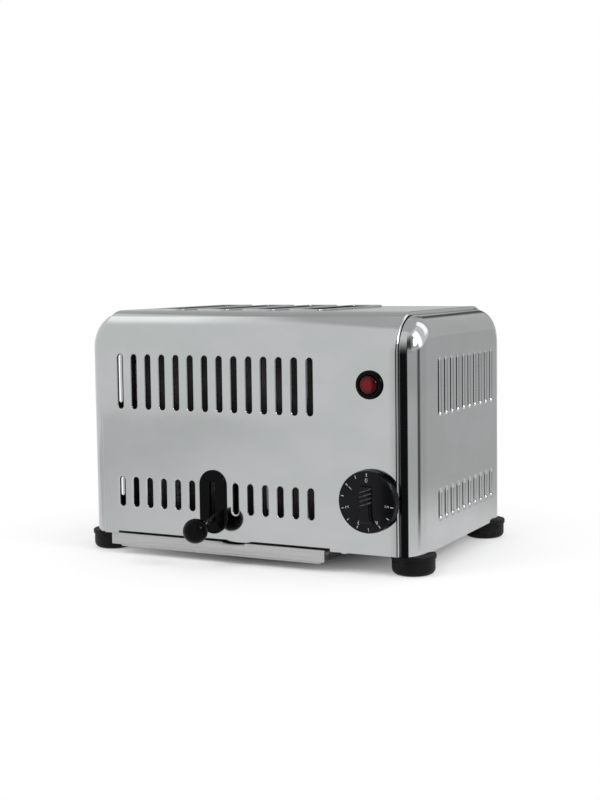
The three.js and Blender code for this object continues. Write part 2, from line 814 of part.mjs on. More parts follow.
// Bread cage: hoops of wire under and beside one slice, held by four long wires
function breadCage(x) {
  const w = cageWire / 2;
  const [y0, y1] = [innerFrontY - cageWireTail, innerRearY + cageWireTail];
  const solids = [];
  for (const dx of [-cageHalfWidth, cageHalfWidth]) {
    for (const z of [cageLowerWire, cageUpperWire]) {
      solids.push(block([x + dx - w, y0, z - w], [x + dx + w, y1, z + w]));
    }
  }
  const first = innerFrontY + sheetThickness + cageHoopMargin;
  const pitch = (innerRearY - sheetThickness - cageHoopMargin - first) / (cageHoops - 1);
  for (let i = 0; i < cageHoops; i += 1) {
    const y = first + i * pitch;
    const outer = cageHalfWidth + w;
    for (const side of [-1, 1]) {
      const inner = x + side * cageHalfWidth;
      solids.push(block([inner - w, y - w, cageBottom], [inner + w, y + w, cageTop]));
    }
    solids.push(block([x - outer, y - w, cageBottom], [x + outer, y + w, cageBottom + cageWire]));
  }
  return join(solids);
}

// Bread carriage: a rail under each slice, two crossbars and the yoke that the lever lifts
function breadCarriage() {
  const railBottom = railTop - railHeight;
  const [front, rear] = [crossbarCentre - crossbarDepth / 2, rearCrossbarCentre + crossbarDepth / 2];
  const solids = slotCentres.map((x) => block(
    [x - railWidth / 2, front, railBottom], [x + railWidth / 2, rear, railTop],
  ));
  const half = (breadSlotCount - 1) / 2 * breadSlotPitch + crossbarEnd;
  for (const y of [crossbarCentre, rearCrossbarCentre]) {
    solids.push(block(
      [chamberX - half, y - crossbarDepth / 2, railBottom],
      [chamberX + half, y + crossbarDepth / 2, railBottom + crossbarThickness],
    ));
  }
  const rodHalf = leverRodRadius / Math.cos(leverRestAngle) + yokeThickness / 2 * Math.tan(leverRestAngle);
  const windowHalf = rodHalf + seatGap + slideGap / 4;
  const yokeBottom = yokeRodZ - windowHalf - yokeBelowRod;
  solids.push(block(
    [chamberX - yokeWidth / 2, crossbarCentre - yokeThickness / 2, yokeBottom],
    [chamberX + yokeWidth / 2, crossbarCentre + yokeThickness / 2, railBottom + crossbarThickness],
  ));
  const windowX = leverRodRadius + slideGap;
  const cutters = guideRodPlaces.map(([x, y]) => cylinderZ(
    guideRodRadius + slideGap, railBottom - cutOverrun, railTop + cutOverrun, x, y,
  ));
  cutters.push(block(
    [chamberX - windowX, crossbarCentre - yokeThickness - cutOverrun, yokeRodZ - windowHalf],
    [chamberX + windowX, crossbarCentre + yokeThickness + cutOverrun, yokeRodZ + windowHalf],
  ));
  return join(solids).subtract(join(cutters));
}

function addGuideRods() {
  guideRodPlaces.forEach(([x, y], i) => {
    place(`guide_rod_${i + 1}`, cylinderZ(guideRodRadius, standTop, guideRodTop, x, y), brightSteel);
  });
}

// Lift lever

function leverBracket() {
  const y0 = innerFrontY + sheetThickness + seatGap;
  const inside = leverEyeWidth / 2 + slideGap;
  const outside = inside + bracketSheet;
  const [low, high] = [leverPivotZ - bracketHeight / 2, leverPivotZ + bracketHeight / 2];
  const end = leverPivotY + bracketTail;
  const footHalf = bracketFootWidth / 2;
  const solids = [block(
    [chamberX - footHalf, y0, leverPivotZ - bracketFootHeight / 2],
    [chamberX + footHalf, y0 + bracketSheet, leverPivotZ + bracketFootHeight / 2],
  )];
  for (const side of [-1, 1]) {
    const [a, b] = side < 0 ? [-outside, -inside] : [inside, outside];
    solids.push(block([chamberX + a, y0, low], [chamberX + b, end, high]));
  }
  const [w, h] = [leverWindowWidth / 2, leverWindowHeight / 2];
  const window = block(
    [chamberX - w, y0 - cutOverrun, leverPivotZ - h],
    [chamberX + w, y0 + bracketSheet + cutOverrun, leverPivotZ + h],
  );
  const pinHole = cylinderX(
    pinRadius + seatGap, chamberX - outside - cutOverrun, chamberX + outside + cutOverrun,
    leverPivotY, leverPivotZ,
  );
  return join(solids).subtract(window).subtract(pinHole);
}

function leverPin() {
  const outside = leverEyeWidth / 2 + slideGap + bracketSheet;
  const shank = cylinderX(pinRadius, -outside - pinTail, outside + seatGap, 0, 0);
  const head = cylinderX(pinHeadRadius, outside + seatGap, outside + seatGap + pinHeadThickness, 0, 0);
  return shank.add(head);
}

// The lever's own axes: the pivot at the origin, the rod along -Y
function liftLever() {
  const eye = cylinderX(leverEyeRadius, -leverEyeWidth / 2, leverEyeWidth / 2, 0, 0, roundFacets);
  const rodEnd = -leverLength + ballRadius - ballBoreDepth + seatGap;
  const rod = cylinderY(leverRodRadius, rodEnd, -pinRadius - seatGap - slideGap, 0, 0);
  const bore = cylinderX(
    pinRadius + seatGap, -leverEyeWidth / 2 - cutOverrun, leverEyeWidth / 2 + cutOverrun, 0, 0,
  );
  return join([rod, eye]).subtract(bore);
}

function leverBall() {
  const sphere = new THREE.SphereGeometry(ballRadius, roundFacets, roundFacets / 2);
  const ball = toSolid(sphere.translate(0, -leverLength, 0));
  const mouth = -leverLength + ballRadius;
  const bore = cylinderY(leverRodRadius + seatGap, mouth - ballBoreDepth, mouth + cutOverrun, 0, 0);
  return ball.subtract(bore);
}

function escutcheon() {
  const outline = (width, height, facets) => (
    uprightSlot(chamberX, escutcheonCentreZ - height / 2, width, height, facets)
  );
  const front = -seatGap - escutcheonThickness;
  const plate = alongY(outline(escutcheonWidth, escutcheonHeight, smallFacets), front, -seatGap);
  const collar = alongY(
    outline(escutcheonCollarWidth, escutcheonCollarHeight), front + escutcheonThickness / 2, sheetThickness,
  );
  const slot = alongY(
    outline(leverSlotWidth, leverSlotHeight),
    front - cutOverrun, sheetThickness + cutOverrun,
  );
  return join([plate, collar]).subtract(slot);
}

function addLever() {
  place('lever_bracket', leverBracket(), galvanisedSteel);
  place('lever_pivot_pin', leverPin(), brightSteel).position.set(chamberX, leverPivotY, leverPivotZ);
  const arm = new THREE.Group();
  arm.position.set(chamberX, leverPivotY, leverPivotZ);
  arm.rotation.x = leverRestAngle;
  toaster.add(arm);
  place('lift_lever', liftLever(), brightSteel, arm);
  place('lever_ball', leverBall(), blackPlastic, arm);
  place('lever_escutcheon', escutcheon(), blackPlastic);
}

// Timer

function timerKnob() {
  const [back, hollow] = [knobBackGap, knobBackGap + knobHollowDepth];
  const bore = spindleRadius + seatGap;
  const boreEnd = spindleReach + seatGap;
  const disc = turnedForward([
    [bore, back], [knobBossRadius, back], [knobBossRadius, hollow], [knobHollowRadius, hollow],
    [knobHollowRadius, back], [knobRadius, back], [knobRadius, hollow],
    [knobFaceRadius, knobFace], [bore, knobFace],
  ], roundFacets + smallFacets / 2, true);
  const half = knobGripWidth / 2;
  const gripTop = knobFace + knobGripHeight;
  const side = new THREE.Shape();
  side.moveTo(-knobFace, -knobGripBelow);
  side.lineTo(-gripTop, -knobGripBelow + knobGripHeight / 2);
  side.lineTo(-gripTop, knobGripAbove - knobGripHeight / 4);
  side.lineTo(-knobFace, knobGripAbove);
  side.lineTo(-hollow, knobGripAbove);
  side.lineTo(-hollow, -knobGripBelow);
  const grip = alongX(side, -half, half);
  const boreCut = cylinderY(bore, -boreEnd, cutOverrun, 0, 0);
  return disc.add(grip).subtract(boreCut);
}

function timerBody() {
  const y0 = sheetThickness + seatGap;
  const [w, h] = [timerBodyWidth / 2, timerBodyHeight / 2];
  const plateBack = y0 + timerPlateThickness;
  const plate = block([-timerPlateWidth / 2, y0, -h], [timerPlateWidth / 2, plateBack, h]);
  const body = block([-w, plateBack, -h], [w, plateBack + timerBodyDepth, h]).add(plate);
  const bush = cylinderY(timerBushRadius, 0, y0 + cutOverrun, 0, 0, roundFacets);
  const spindleEnd = spindleInside + seatGap;
  const cutters = [cylinderY(spindleRadius + seatGap, -cutOverrun, spindleEnd, 0, 0)];
  for (const side of [-1, 1]) {
    cutters.push(cylinderY(
      timerScrewRadius + seatGap, 0, timerScrewLength + seatGap, side * timerScrewSpacing / 2, 0,
    ));
  }
  return join([body, bush]).subtract(join(cutters));
}

function timerScrew() {
  const start = -seatGap;
  const shank = cylinderY(timerScrewRadius, start, timerScrewLength, 0, 0);
  const head = cylinderY(timerScrewHeadRadius, start - timerScrewHeadThickness, start, 0, 0);
  return shank.add(head);
}

function addTimer() {
  const unit = new THREE.Group();
  unit.position.set(controlsX, 0, knobZ);
  toaster.add(unit);
  place('timer_body', timerBody(), galvanisedSteel, unit);
  place('timer_spindle', cylinderY(spindleRadius, -spindleReach, spindleInside, 0, 0), brightSteel, unit);
  place('timer_knob', timerKnob(), blackPlastic, unit);
  for (const [name, side] of [['timer_screw_left', -1], ['timer_screw_right', 1]]) {
    place(name, timerScrew(), brightSteel, unit).position.x = side * timerScrewSpacing / 2;
  }
}

// Indicator lamp

function addLamp() {
  const lamp = new THREE.Group();
  lamp.position.set(controlsX, 0, lampZ);
  toaster.add(lamp);
  const recess = lampBezelThickness - lampRecessDepth;
  const mouth = lampLensRadius + seatGap;
  const edge = lampBezelThickness / 2;
  place('lamp_bezel', turnedForward([
    [0, -lampBarrelLength], [lampBarrelRadius, -lampBarrelLength], [lampBarrelRadius, seatGap],
    [lampBezelRadius, seatGap], [lampBezelRadius, edge], [lampBezelRadius - edge, lampBezelThickness],
    [mouth, lampBezelThickness], [mouth, recess], [0, recess],
  ], roundFacets), blackPlastic, lamp);
  const lens = [[0, recess + seatGap], [lampLensRadius, recess + seatGap]];
  for (const share of lensDomeShares) {
    const a = share * Math.PI / 2;
    lens.push([lampLensRadius * Math.cos(a), lampBezelThickness + lampLensDome * Math.sin(a)]);
  }
  lens.push([0, lampBezelThickness + lampLensDome]);
  place('lamp_lens', turnedForward(lens, roundFacets), redLens, lamp);
  const nutFront = -sheetThickness - seatGap;
  const nutBore = lampBarrelRadius + seatGap;
  place('lamp_nut', turnedForward([
    [nutBore, nutFront], [lampNutRadius, nutFront],
    [lampNutRadius, nutFront - lampNutThickness], [nutBore, nutFront - lampNutThickness],
  ], roundFacets, true), blackPlastic, lamp);
}

// Crumb tray: a shallow folded pan hung by its side rims, with a wider front lip
function crumbTray() {
  const [t, half] = [traySheet, trayBodyWidth / 2];
  const [x0, x1] = [trayBodyX - half, trayBodyX + half];
  const [front, floor] = [-trayLipFront + t, -trayFloorDrop];
  const [lip0, lip1] = [trayLipX - trayLipWidth / 2, trayLipX + trayLipWidth / 2];
  const flangeEnd = -trayLipPanelGap;
  const wallTop = -trayRimDrop;
  const rimUnder = wallTop - t;
  const rimStart = runnerEndInset / 2;
  const solids = [
    block([x0, front, floor], [x1, trayBodyBack, floor + t]),
    block([x0, front, floor], [x1, front + t, trayLipTop]),
    block([x0, trayBodyBack - t, floor], [x1, trayBodyBack, wallTop]),
    block([x0, front, floor], [x0 + t, trayBodyBack, wallTop]),
    block([x1 - t, front, floor], [x1, trayBodyBack, wallTop]),
    block([x0 - trayRimWidth, rimStart, rimUnder], [x0 + t, trayBodyBack, wallTop]),
    block([x1 - t, rimStart, rimUnder], [x1 + trayRimWidth, trayBodyBack, wallTop]),
    block([lip0, -trayLipFront, -trayLipDrop], [lip1, front, trayLipTop]),
    block([lip0, -trayLipFront, trayLipTop - t], [lip1, flangeEnd, trayLipTop]),
  ];
  const notch = new THREE.Shape();
  notch.absellipse(trayNotchX, flangeEnd, trayNotchWidth / 2, trayNotchDepth, 0, Math.PI * 2);
  return join(solids).subtract(alongZ(notch, trayLipTop - t * 2, trayLipTop + cutOverrun, capFacets));
}

// A channel under the base plate that holds the tray's rim
function trayRunner(side) {
  const edge = trayBodyWidth / 2 + trayRimWidth + slideGap;
  const outer = edge + runnerSheet;
  const [top, ledge] = [-seatGap, -trayRimDrop - traySheet - seatGap];
  const [y0, y1] = [runnerEndInset, casingDepth - runnerEndInset];
  const spans = [
    [edge, outer, ledge - runnerSheet, top],
    [outer - runnerFlange, outer, top - runnerSheet, top],
    [outer - runnerFlange + slideGap, outer, ledge - runnerSheet, ledge],
  ];
  return join(spans.map(([a, b, z0, z1]) => {
    const [x0, x1] = side > 0 ? [trayBodyX + a, trayBodyX + b] : [trayBodyX - b, trayBodyX - a];
    return block([x0, y0, z0], [x1, y1, z1]);
  }));
}

// Cable gland in the back, its nut, and the terminal block behind it

function addSupply() {
  const gland = new THREE.Group();
  gland.position.set(glandX, casingDepth, glandZ);
  gland.rotation.z = Math.PI;
  toaster.add(gland);
  const flangeFace = seatGap + glandFlangeThickness;
  place('cable_gland', turnedForward([
    [glandBoreRadius, -glandBarrelLength], [glandBarrelRadius, -glandBarrelLength],
    [glandBarrelRadius, seatGap], [glandFlangeRadius, seatGap], [glandFlangeRadius, flangeFace],
    [glandNoseRadius, flangeFace + glandFlangeThickness], [glandNoseRadius - seatGap, glandReach],
    [glandBoreRadius, glandReach],
  ], roundFacets, true), blackPlastic, gland);
  const nutBore = glandBarrelRadius + seatGap;
  const nutFront = -sheetThickness - seatGap;
  place('gland_nut', turnedForward([
    [nutBore, nutFront], [glandNutRadius, nutFront],
    [glandNutRadius, nutFront - glandNutThickness], [nutBore, nutFront - glandNutThickness],
  ], roundFacets, true), blackPlastic, gland);
  const [w, d] = [terminalWidth / 2, terminalDepth / 2];
  const solids = [block([-w, -d, 0], [w, d, terminalHeight])];
  for (let i = 0; i < terminalTowers; i += 1) {
    const x = (i - (terminalTowers - 1) / 2) * terminalWidth / terminalTowers;
    const [half, top] = [terminalTowerWidth / 2, terminalHeight + terminalTowerHeight];
    solids.push(block([x - half, -half, 0], [x + half, half, top]));
  }
  place('terminal_block', join(solids), paleNylon).position.set(glandX, terminalY, standTop);
}

place('casing_wrapper', casingWrapper(), polishedSteel);
place('end_cap_left', endCap(-1), polishedSteel);
place('end_cap_right', endCap(1), polishedSteel);
place('base_plate', basePlate(), galvanisedSteel);
addFeet();
addChamberWalls();
elementCentres.forEach((x, i) => place(`heating_element_${i + 1}`, heatingElement(x), mica));
slotCentres.forEach((x, i) => place(`bread_cage_${i + 1}`, breadCage(x), brightSteel));
place('bread_carriage', breadCarriage(), brightSteel);
addGuideRods();
addLever();
addTimer();
addLamp();
place('crumb_tray', crumbTray(), polishedSteel);
place('tray_runner_left', trayRunner(-1), galvanisedSteel);
place('tray_runner_right', trayRunner(1), galvanisedSteel);
addSupply();

export default toaster;
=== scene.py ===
# %% [markdown]
# A four-slot counter toaster. One folded sheet of polished steel makes the front, the top and the back,
# and two pressed caps close the ends. On the front are a lift lever with a ball, a clockwork timer knob
# with a numbered dial, a red lamp and the lip of a crumb tray. Four rubber feet carry it all. The packed
# model is the fixed frame: every size is read from its boxes, or is a named detail of a piece.

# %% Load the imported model
import bpy
import bmesh
import json
import math
from mathutils import Matrix, Vector

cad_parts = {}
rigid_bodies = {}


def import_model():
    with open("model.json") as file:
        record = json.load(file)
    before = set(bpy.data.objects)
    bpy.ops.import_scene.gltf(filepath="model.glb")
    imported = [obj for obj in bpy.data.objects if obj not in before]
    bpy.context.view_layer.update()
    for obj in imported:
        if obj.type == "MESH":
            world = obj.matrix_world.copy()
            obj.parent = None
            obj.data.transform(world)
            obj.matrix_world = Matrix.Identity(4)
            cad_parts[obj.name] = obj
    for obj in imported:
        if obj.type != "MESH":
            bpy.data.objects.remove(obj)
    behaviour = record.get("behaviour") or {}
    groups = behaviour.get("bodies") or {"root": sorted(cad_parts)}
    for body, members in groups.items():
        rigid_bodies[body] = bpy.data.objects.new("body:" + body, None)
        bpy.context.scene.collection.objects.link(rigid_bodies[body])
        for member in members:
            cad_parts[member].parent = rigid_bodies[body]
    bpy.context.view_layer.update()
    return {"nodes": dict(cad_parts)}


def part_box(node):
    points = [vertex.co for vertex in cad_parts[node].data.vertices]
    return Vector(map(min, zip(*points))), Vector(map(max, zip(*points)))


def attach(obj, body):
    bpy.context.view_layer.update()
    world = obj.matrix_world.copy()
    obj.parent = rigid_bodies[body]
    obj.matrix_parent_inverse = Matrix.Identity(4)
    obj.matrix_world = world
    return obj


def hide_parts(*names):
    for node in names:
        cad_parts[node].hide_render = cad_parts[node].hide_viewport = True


for leftover in list(bpy.data.objects):
    bpy.data.objects.remove(leftover)
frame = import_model()

# %% [markdown]
# Blender counts in metres and a sheet-metal worker in millimetres, so small sizes are a number times MM.
# The casing's own corners give the planes that everything else sits on.

# %% The casing's planes
MM = 0.001
casing_low, casing_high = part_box("casing_wrapper")
COLLAR_RISE = 2 * MM
HALF_WIDTH = casing_high.x
FRONT, BACK = casing_low.y, casing_high.y
FOOT_LINE, TOP = casing_low.z, casing_high.z - COLLAR_RISE
MIDDLE_Y = (FRONT + BACK) / 2
BEND = 35 * MM
SHEET = 1 * MM
WELD = 0.005 * MM


def centre(node):
    """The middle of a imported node's box."""
    low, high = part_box(node)
    return (low + high) / 2


def add_object(name, data):
    """A new object in the scene, at the origin."""
    thing = bpy.data.objects.new(name, data)
    bpy.context.scene.collection.objects.link(thing)
    return thing


print("casing", round(2 * HALF_WIDTH, 4), "x", round(BACK - FRONT, 4), "x", round(TOP - FOOT_LINE, 4), "m")

# %% [markdown]
# The camera stands where the photograph was taken: a little to the right, slightly above the top, turned
# left and tipped down by a few degrees. The picture is cropped off the lens axis, so the lens is shifted
# a little.

# %% Camera
PICTURE_HEIGHT = 800
PICTURE_MIDDLE = (300, 400)
FOCAL_PIXELS = 1368.95
AXIS_PIXEL = (344.12, 375.34)
SENSOR = 36
NEAR_CLIP = 0.05
CAMERA_PLACE = Vector((599.53, -1136.40, 259.30)) * MM
CAMERA_YAW = math.radians(-25.617)
CAMERA_PITCH = math.radians(4.435)
CAMERA_ROLL = math.radians(-0.63)


def camera_axes(yaw, pitch, roll):
    """The camera's right, up and backward directions as the columns of a turn."""
    ahead = Vector((math.sin(yaw) * math.cos(pitch), math.cos(yaw) * math.cos(pitch), -math.sin(pitch)))
    right = Vector((math.cos(yaw), -math.sin(yaw), 0))
    up = right.cross(ahead)
    turned_right = right * math.cos(roll) + up * math.sin(roll)
    turned_up = up * math.cos(roll) - right * math.sin(roll)
    return Matrix((turned_right, turned_up, -ahead)).transposed()


lens_data = bpy.data.cameras.new("camera")
lens_data.sensor_width = SENSOR
lens_data.lens = FOCAL_PIXELS * SENSOR / PICTURE_HEIGHT
lens_data.shift_x = -(AXIS_PIXEL[0] - PICTURE_MIDDLE[0]) / PICTURE_HEIGHT
lens_data.shift_y = (AXIS_PIXEL[1] - PICTURE_MIDDLE[1]) / PICTURE_HEIGHT
lens_data.clip_start = NEAR_CLIP
camera = add_object("camera", lens_data)
turn = camera_axes(CAMERA_YAW, CAMERA_PITCH, CAMERA_ROLL)
camera.matrix_world = Matrix.Translation(CAMERA_PLACE) @ turn.to_4x4()
bpy.context.scene.camera = camera
bpy.context.scene.view_settings.view_transform = "Standard"
lens_facts = [lens_data.lens, lens_data.shift_x, lens_data.shift_y]
print("lens in mm and its shifts", [round(fact, 4) for fact in lens_facts])

# %% [markdown]
# Node trees are long to write by hand. A Wire is one socket that Python's own operators work on, so that
# 1 - mask adds a Math node, and Nodes.add makes any other node from its type, its settings and its
# inputs.

# %% Wires and nodes


def operator(operation, swapped=False):
    """One of Python's operators on a wire, as a Math node."""
    def work(wire, other):
        return wire.math(operation, *((other, wire) if swapped else (wire, other)))
    return work


class Wire:
    """A socket of a node tree that can be used in Python sums."""

    def __init__(self, nodes, socket):
        self.nodes = nodes
        self.socket = socket

    def math(self, operation, *values):
        return self.nodes.add("ShaderNodeMath", {"operation": operation}, dict(enumerate(values)))

    __add__ = operator("ADD")
    __sub__ = operator("SUBTRACT")
    __rsub__ = operator("SUBTRACT", True)
    __mul__ = operator("MULTIPLY")
    __lt__ = operator("LESS_THAN")
    __gt__ = operator("GREATER_THAN")
    larger = operator("MAXIMUM")


class Nodes:
    """Adds nodes to one tree and feeds their inputs with values or wires."""

    def __init__(self, tree):
        self.tree = tree

    def feed(self, socket, value):
        if isinstance(value, Wire):
            self.tree.links.new(value.socket, socket)
        elif isinstance(value, list):
            for wire in reversed(value):
                self.feed(socket, wire)
        else:
            socket.default_value = value

    def add(self, kind, settings=None, inputs=None, output=0):
        """A new node; returns one of its outputs as a wire, where it has any."""
        node = self.tree.nodes.new(kind)
        for name, value in (settings or {}).items():
            setattr(node, name, value)
        for name, value in (inputs or {}).items():
            self.feed(node.inputs[name], value)
        return Wire(self, node.outputs[output]) if len(node.outputs) else None


# %% [markdown]
# A finish starts from the Principled shader. What is the same all over is set on the shader's own socket,
# and what varies over the surface is fed by noise on Object coordinates, in metres, so it has a real
# scale. Most finishes are built alike: one noise mixes two tones, a second or the same one varies the
# roughness, and a grain or a slow wave moves the surface a few hundredths of a millimetre.

# %% Finish helper
ALL, SOFT, FIRM = (0, 1), (0.3, 0.7), (0.35, 0.65)       # the part of a noise that is stretched from 0 to 1


class Finish(Nodes):
    """One material, with its shader and its place on the object."""

    def __init__(self, name, **constants):
        self.material = bpy.data.materials.new(name)
        self.material.use_nodes = True
        super().__init__(self.material.node_tree)
        for label, value in constants.items():
            self.set(label.replace("_", " "), value)
        self.place = self.add("ShaderNodeTexCoord", output="Object")

    def set(self, label, value):
        self.feed(self.tree.nodes["Principled BSDF"].inputs[label], value)

    def noise(self, per_metre, detail=2, stretch=(1, 1, 1), rough=0.5):
        """Soft noise with about this many patches in a metre, stretched along some axes."""
        scale = tuple(per_metre * part for part in stretch)
        spot = self.add("ShaderNodeMapping", inputs={"Vector": self.place, "Scale": scale})
        settings = {"Vector": spot, "Scale": 1, "Detail": detail, "Roughness": rough}
        return self.add("ShaderNodeTexNoise", inputs=settings)

    def tones(self, amount, first, second):
        """Mix the base colour from two, by a wire from 0 to 1."""
        self.set("Base Color", (*first, 1))
        inputs = {0: amount, 6: (*first, 1), 7: (*second, 1)}
        self.set("Base Color", self.add("ShaderNodeMix", {"data_type": "RGBA"}, inputs, output=2))

    def spread(self, wire, low, high, to_low=0, to_high=1):
        """Stretch the part of a wire between low and high over another range."""
        settings = {"Value": wire, "From Min": low, "From Max": high, "To Min": to_low, "To Max": to_high}
        return self.add("ShaderNodeMapRange", inputs=settings)

    def bump(self, height, millimetres, strength=1):
        settings = {"Height": height, "Distance": millimetres * MM, "Strength": strength}
        self.set("Normal", self.add("ShaderNodeBump", inputs=settings))


def mottled(name, noise, reach, first, second, roughs, rough_reach=SOFT, grain=None, bump=0, wave=None,
            **constants):
    """A material of noises: two tones, two roughnesses, and a bump in millimetres by the grain or a wave."""
    finish = Finish(name, **constants)
    tone = finish.noise(*noise)
    finish.tones(finish.spread(tone, *reach), first, second)
    polish = finish.noise(*grain) if grain else tone
    finish.set("Roughness", finish.spread(polish, *rough_reach, *roughs))
    if bump:
        finish.bump(finish.noise(*wave) if wave else polish, bump)
    print("made", name)
    return finish.material


# %% [markdown]
# Polished stainless sheet is nearly a mirror, so its tone is the room's tone times its own grey. What
# gives it away as real sheet is a faint greenish and bluish clouding, a little unevenness of the polish,
# and a slow waviness of the rolled sheet that bends long reflections. The walls round the heating
# elements get a near-black brownish sheet, a painted shade for the dark inside of the chamber, which is
# why the vents look black from outside. Rods, screws and cage wires have a bright drawn skin, and the
# wires near the ribbons have darkened with heat too.

# %% Polished, inner-shade and bright steel
POLISHED = mottled(
    "polished_sheet", (14, 3, (1, 1, 1.6), 0.6), FIRM, (0.455, 0.48, 0.472), (0.497, 0.50, 0.512),
    (0.045, 0.1), grain=(60, 4, (1, 1, 0.25)), bump=0.25, wave=(9, 1), Metallic=1)
# The chamber walls' near-black sheet is a painted shade for the dark inside of the chamber.
INNER_SHADE_SHEET = mottled(
    "heat_darkened_sheet", (18, 4, (1, 1, 0.5), 0.6), FIRM, (0.03, 0.027, 0.022), (0.075, 0.075, 0.078),
    (0.62, 0.42), FIRM, bump=0.03, wave=(500,), Metallic=0.7)
BRIGHT = mottled(
    "bright_turned_steel", (900, 3), ALL, (0.52, 0.52, 0.52), (0.66, 0.66, 0.655), (0.16, 0.3),
    bump=0.01, Metallic=1)
WIRE = mottled(
    "heated_cage_wire", (25, 3), FIRM, (0.30, 0.27, 0.24), (0.50, 0.49, 0.47), (0.45, 0.28), FIRM,
    bump=0.02, wave=(1500,), Metallic=1)

# %% [markdown]
# The crumb tray is brushed: a belt has drawn fine scratches along its length. Noise stretched to hair-
# thin lines along X changes both the roughness and the height, which spreads the highlight across the
# grain. The plates and brackets underneath are galvanised. Zinc freezes in flat crystals, so each cell of
# a Voronoi pattern has its own grey and its own roughness.

# %% Brushed and galvanised steel


def brushed_sheet():
    steel = Finish("brushed_sheet", Metallic=1)
    grain = steel.noise(2200, 3, (0.012, 1, 1), 0.65)
    mixed = grain * 0.6 + steel.noise(260, 2, (0.02, 1, 1)) * 0.4
    steel.tones(steel.spread(mixed, *SOFT), (0.38, 0.38, 0.385), (0.52, 0.52, 0.515))
    steel.set("Roughness", steel.spread(mixed, *SOFT, 0.22, 0.42))
    steel.bump(grain, 0.02, 0.6)
    return steel.material


def galvanised_sheet():
    zinc = Finish("galvanised_sheet", Metallic=1)
    spot = zinc.add("ShaderNodeMapping", inputs={"Vector": zinc.place, "Scale": (110, 110, 110)})
    cell = zinc.add("ShaderNodeTexVoronoi", {"feature": "F1"}, {"Vector": spot, "Scale": 1}, output="Color")
    grey = zinc.add("ShaderNodeSeparateColor", inputs={"Color": cell})
    zinc.tones(grey, (0.27, 0.28, 0.29), (0.40, 0.41, 0.42))
    zinc.set("Roughness", zinc.spread(grey, *ALL, 0.38, 0.58))
    zinc.bump(zinc.noise(700), 0.03)
    return zinc.material


BRUSHED, GALVANISED = brushed_sheet(), galvanised_sheet()
print("made", BRUSHED.name, GALVANISED.name)

# %% [markdown]
# Four blacks. The ball, the escutcheon and the lamp's ring are glossy phenolic, with a faint ripple. The
# knob is a satin moulding with a fine spark texture, and its ribs get a paler black, mottled at random: a
# painted highlight for the light their crests catch. The feet are rubber with dust in the pores.

# %% Black plastics and rubber
GLOSS_BLACK = mottled(
    "gloss_black_plastic", (120, 2), ALL, (0.001, 0.001, 0.0015), (0.003, 0.003, 0.0035), (0.05, 0.1),
    bump=0.03, Specular_IOR_Level=0.06)
SATIN_BLACK = mottled(
    "satin_black_plastic", (70, 2), ALL, (0.002, 0.002, 0.003), (0.005, 0.005, 0.007), (0.16, 0.26),
    grain=(3000, 2), bump=0.015, Specular_IOR_Level=0.13)
# The ribs' paler black is a painted highlight for the light their crests catch.
RIB_HIGHLIGHT_BLACK = mottled(
    "rubbed_black_plastic", (350, 3), FIRM, (0.014, 0.014, 0.016), (0.085, 0.083, 0.088), (0.32, 0.5),
    Specular_IOR_Level=0.2)
RUBBER = mottled(
    "black_foot_rubber", (90, 4, (1, 1, 1), 0.7), (0.5, 0.8), (0.003, 0.003, 0.004), (0.016, 0.015, 0.015),
    (0.4, 0.65), grain=(1200, 4), bump=0.04, Specular_IOR_Level=0.15)

# %% [markdown]
# The boards are mica, flaky and silvery brown, and carry a dull ribbon. The terminal block is pale nylon,
# and the dial's numbers are pale printing ink. The lamp's lens is deep red in the middle and goes almost
# black towards its edge, a painted shade for the ring's lip, which the distance from the lamp's axis
# gives; a faint noise mottles it.

# %% Ribbon, nylon, ink, mica and lens
RIBBON = mottled(
    "heating_ribbon", (500, 3), ALL, (0.14, 0.13, 0.12), (0.30, 0.28, 0.27), (0.35, 0.55), bump=0.02,
    Metallic=1)
NYLON = mottled(
    "pale_nylon", (150, 3), ALL, (0.60, 0.57, 0.49), (0.70, 0.68, 0.60), (0.4, 0.55), bump=0.02,
    wave=(900,))
INK = mottled(
    "dial_printing_ink", (420, 3), FIRM, (0.22, 0.22, 0.24), (0.52, 0.52, 0.54), (0.6, 0.42), FIRM)


def mica_board():
    mica = Finish("mica_board")
    flakes = mica.spread(mica.noise(180, 5, (1, 1, 1), 0.7), *FIRM)
    mica.tones(flakes, (0.30, 0.25, 0.18), (0.55, 0.49, 0.38))
    mica.set("Roughness", mica.spread(flakes, *ALL, 0.6, 0.35))
    mica.bump(flakes, 0.05)
    return mica.material


def red_lens():
    lens = Finish("red_lamp_lens", Roughness=0.09, Specular_IOR_Level=0.16)
    middle, half = centre("lamp_lens"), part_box("lamp_lens")[1].x - centre("lamp_lens").x
    inputs = {0: lens.place, 1: (middle.x, 0, middle.z)}
    away = lens.add("ShaderNodeVectorMath", {"operation": "SUBTRACT"}, inputs)
    flat = lens.add("ShaderNodeVectorMath", {"operation": "MULTIPLY"}, {0: away, 1: (1, 0, 1)})
    radius = lens.add("ShaderNodeVectorMath", {"operation": "LENGTH"}, {0: flat}, output="Value")
    # Darker towards the edge: a painted shade for the ring's lip, mottled a little by noise.
    painted_edge_shade = lens.spread(radius, 0.45 * half, half) + lens.noise(160) * 0.5 - 0.2
    lens.tones(painted_edge_shade.larger(0), (0.14, 0.005, 0.008), (0.012, 0.001, 0.003))
    lens.bump(lens.noise(300, 1), 0.03)
    return lens.material


MICA, LENS = mica_board(), red_lens()
print("made", MICA.name, LENS.name)

# %% [markdown]
# Most pieces are built from rings: rows of points that are joined to the next row by faces. A turned
# piece, a pressed cap and a moulded escutcheon differ only in how their rings are drawn.

# %% Rings and meshes


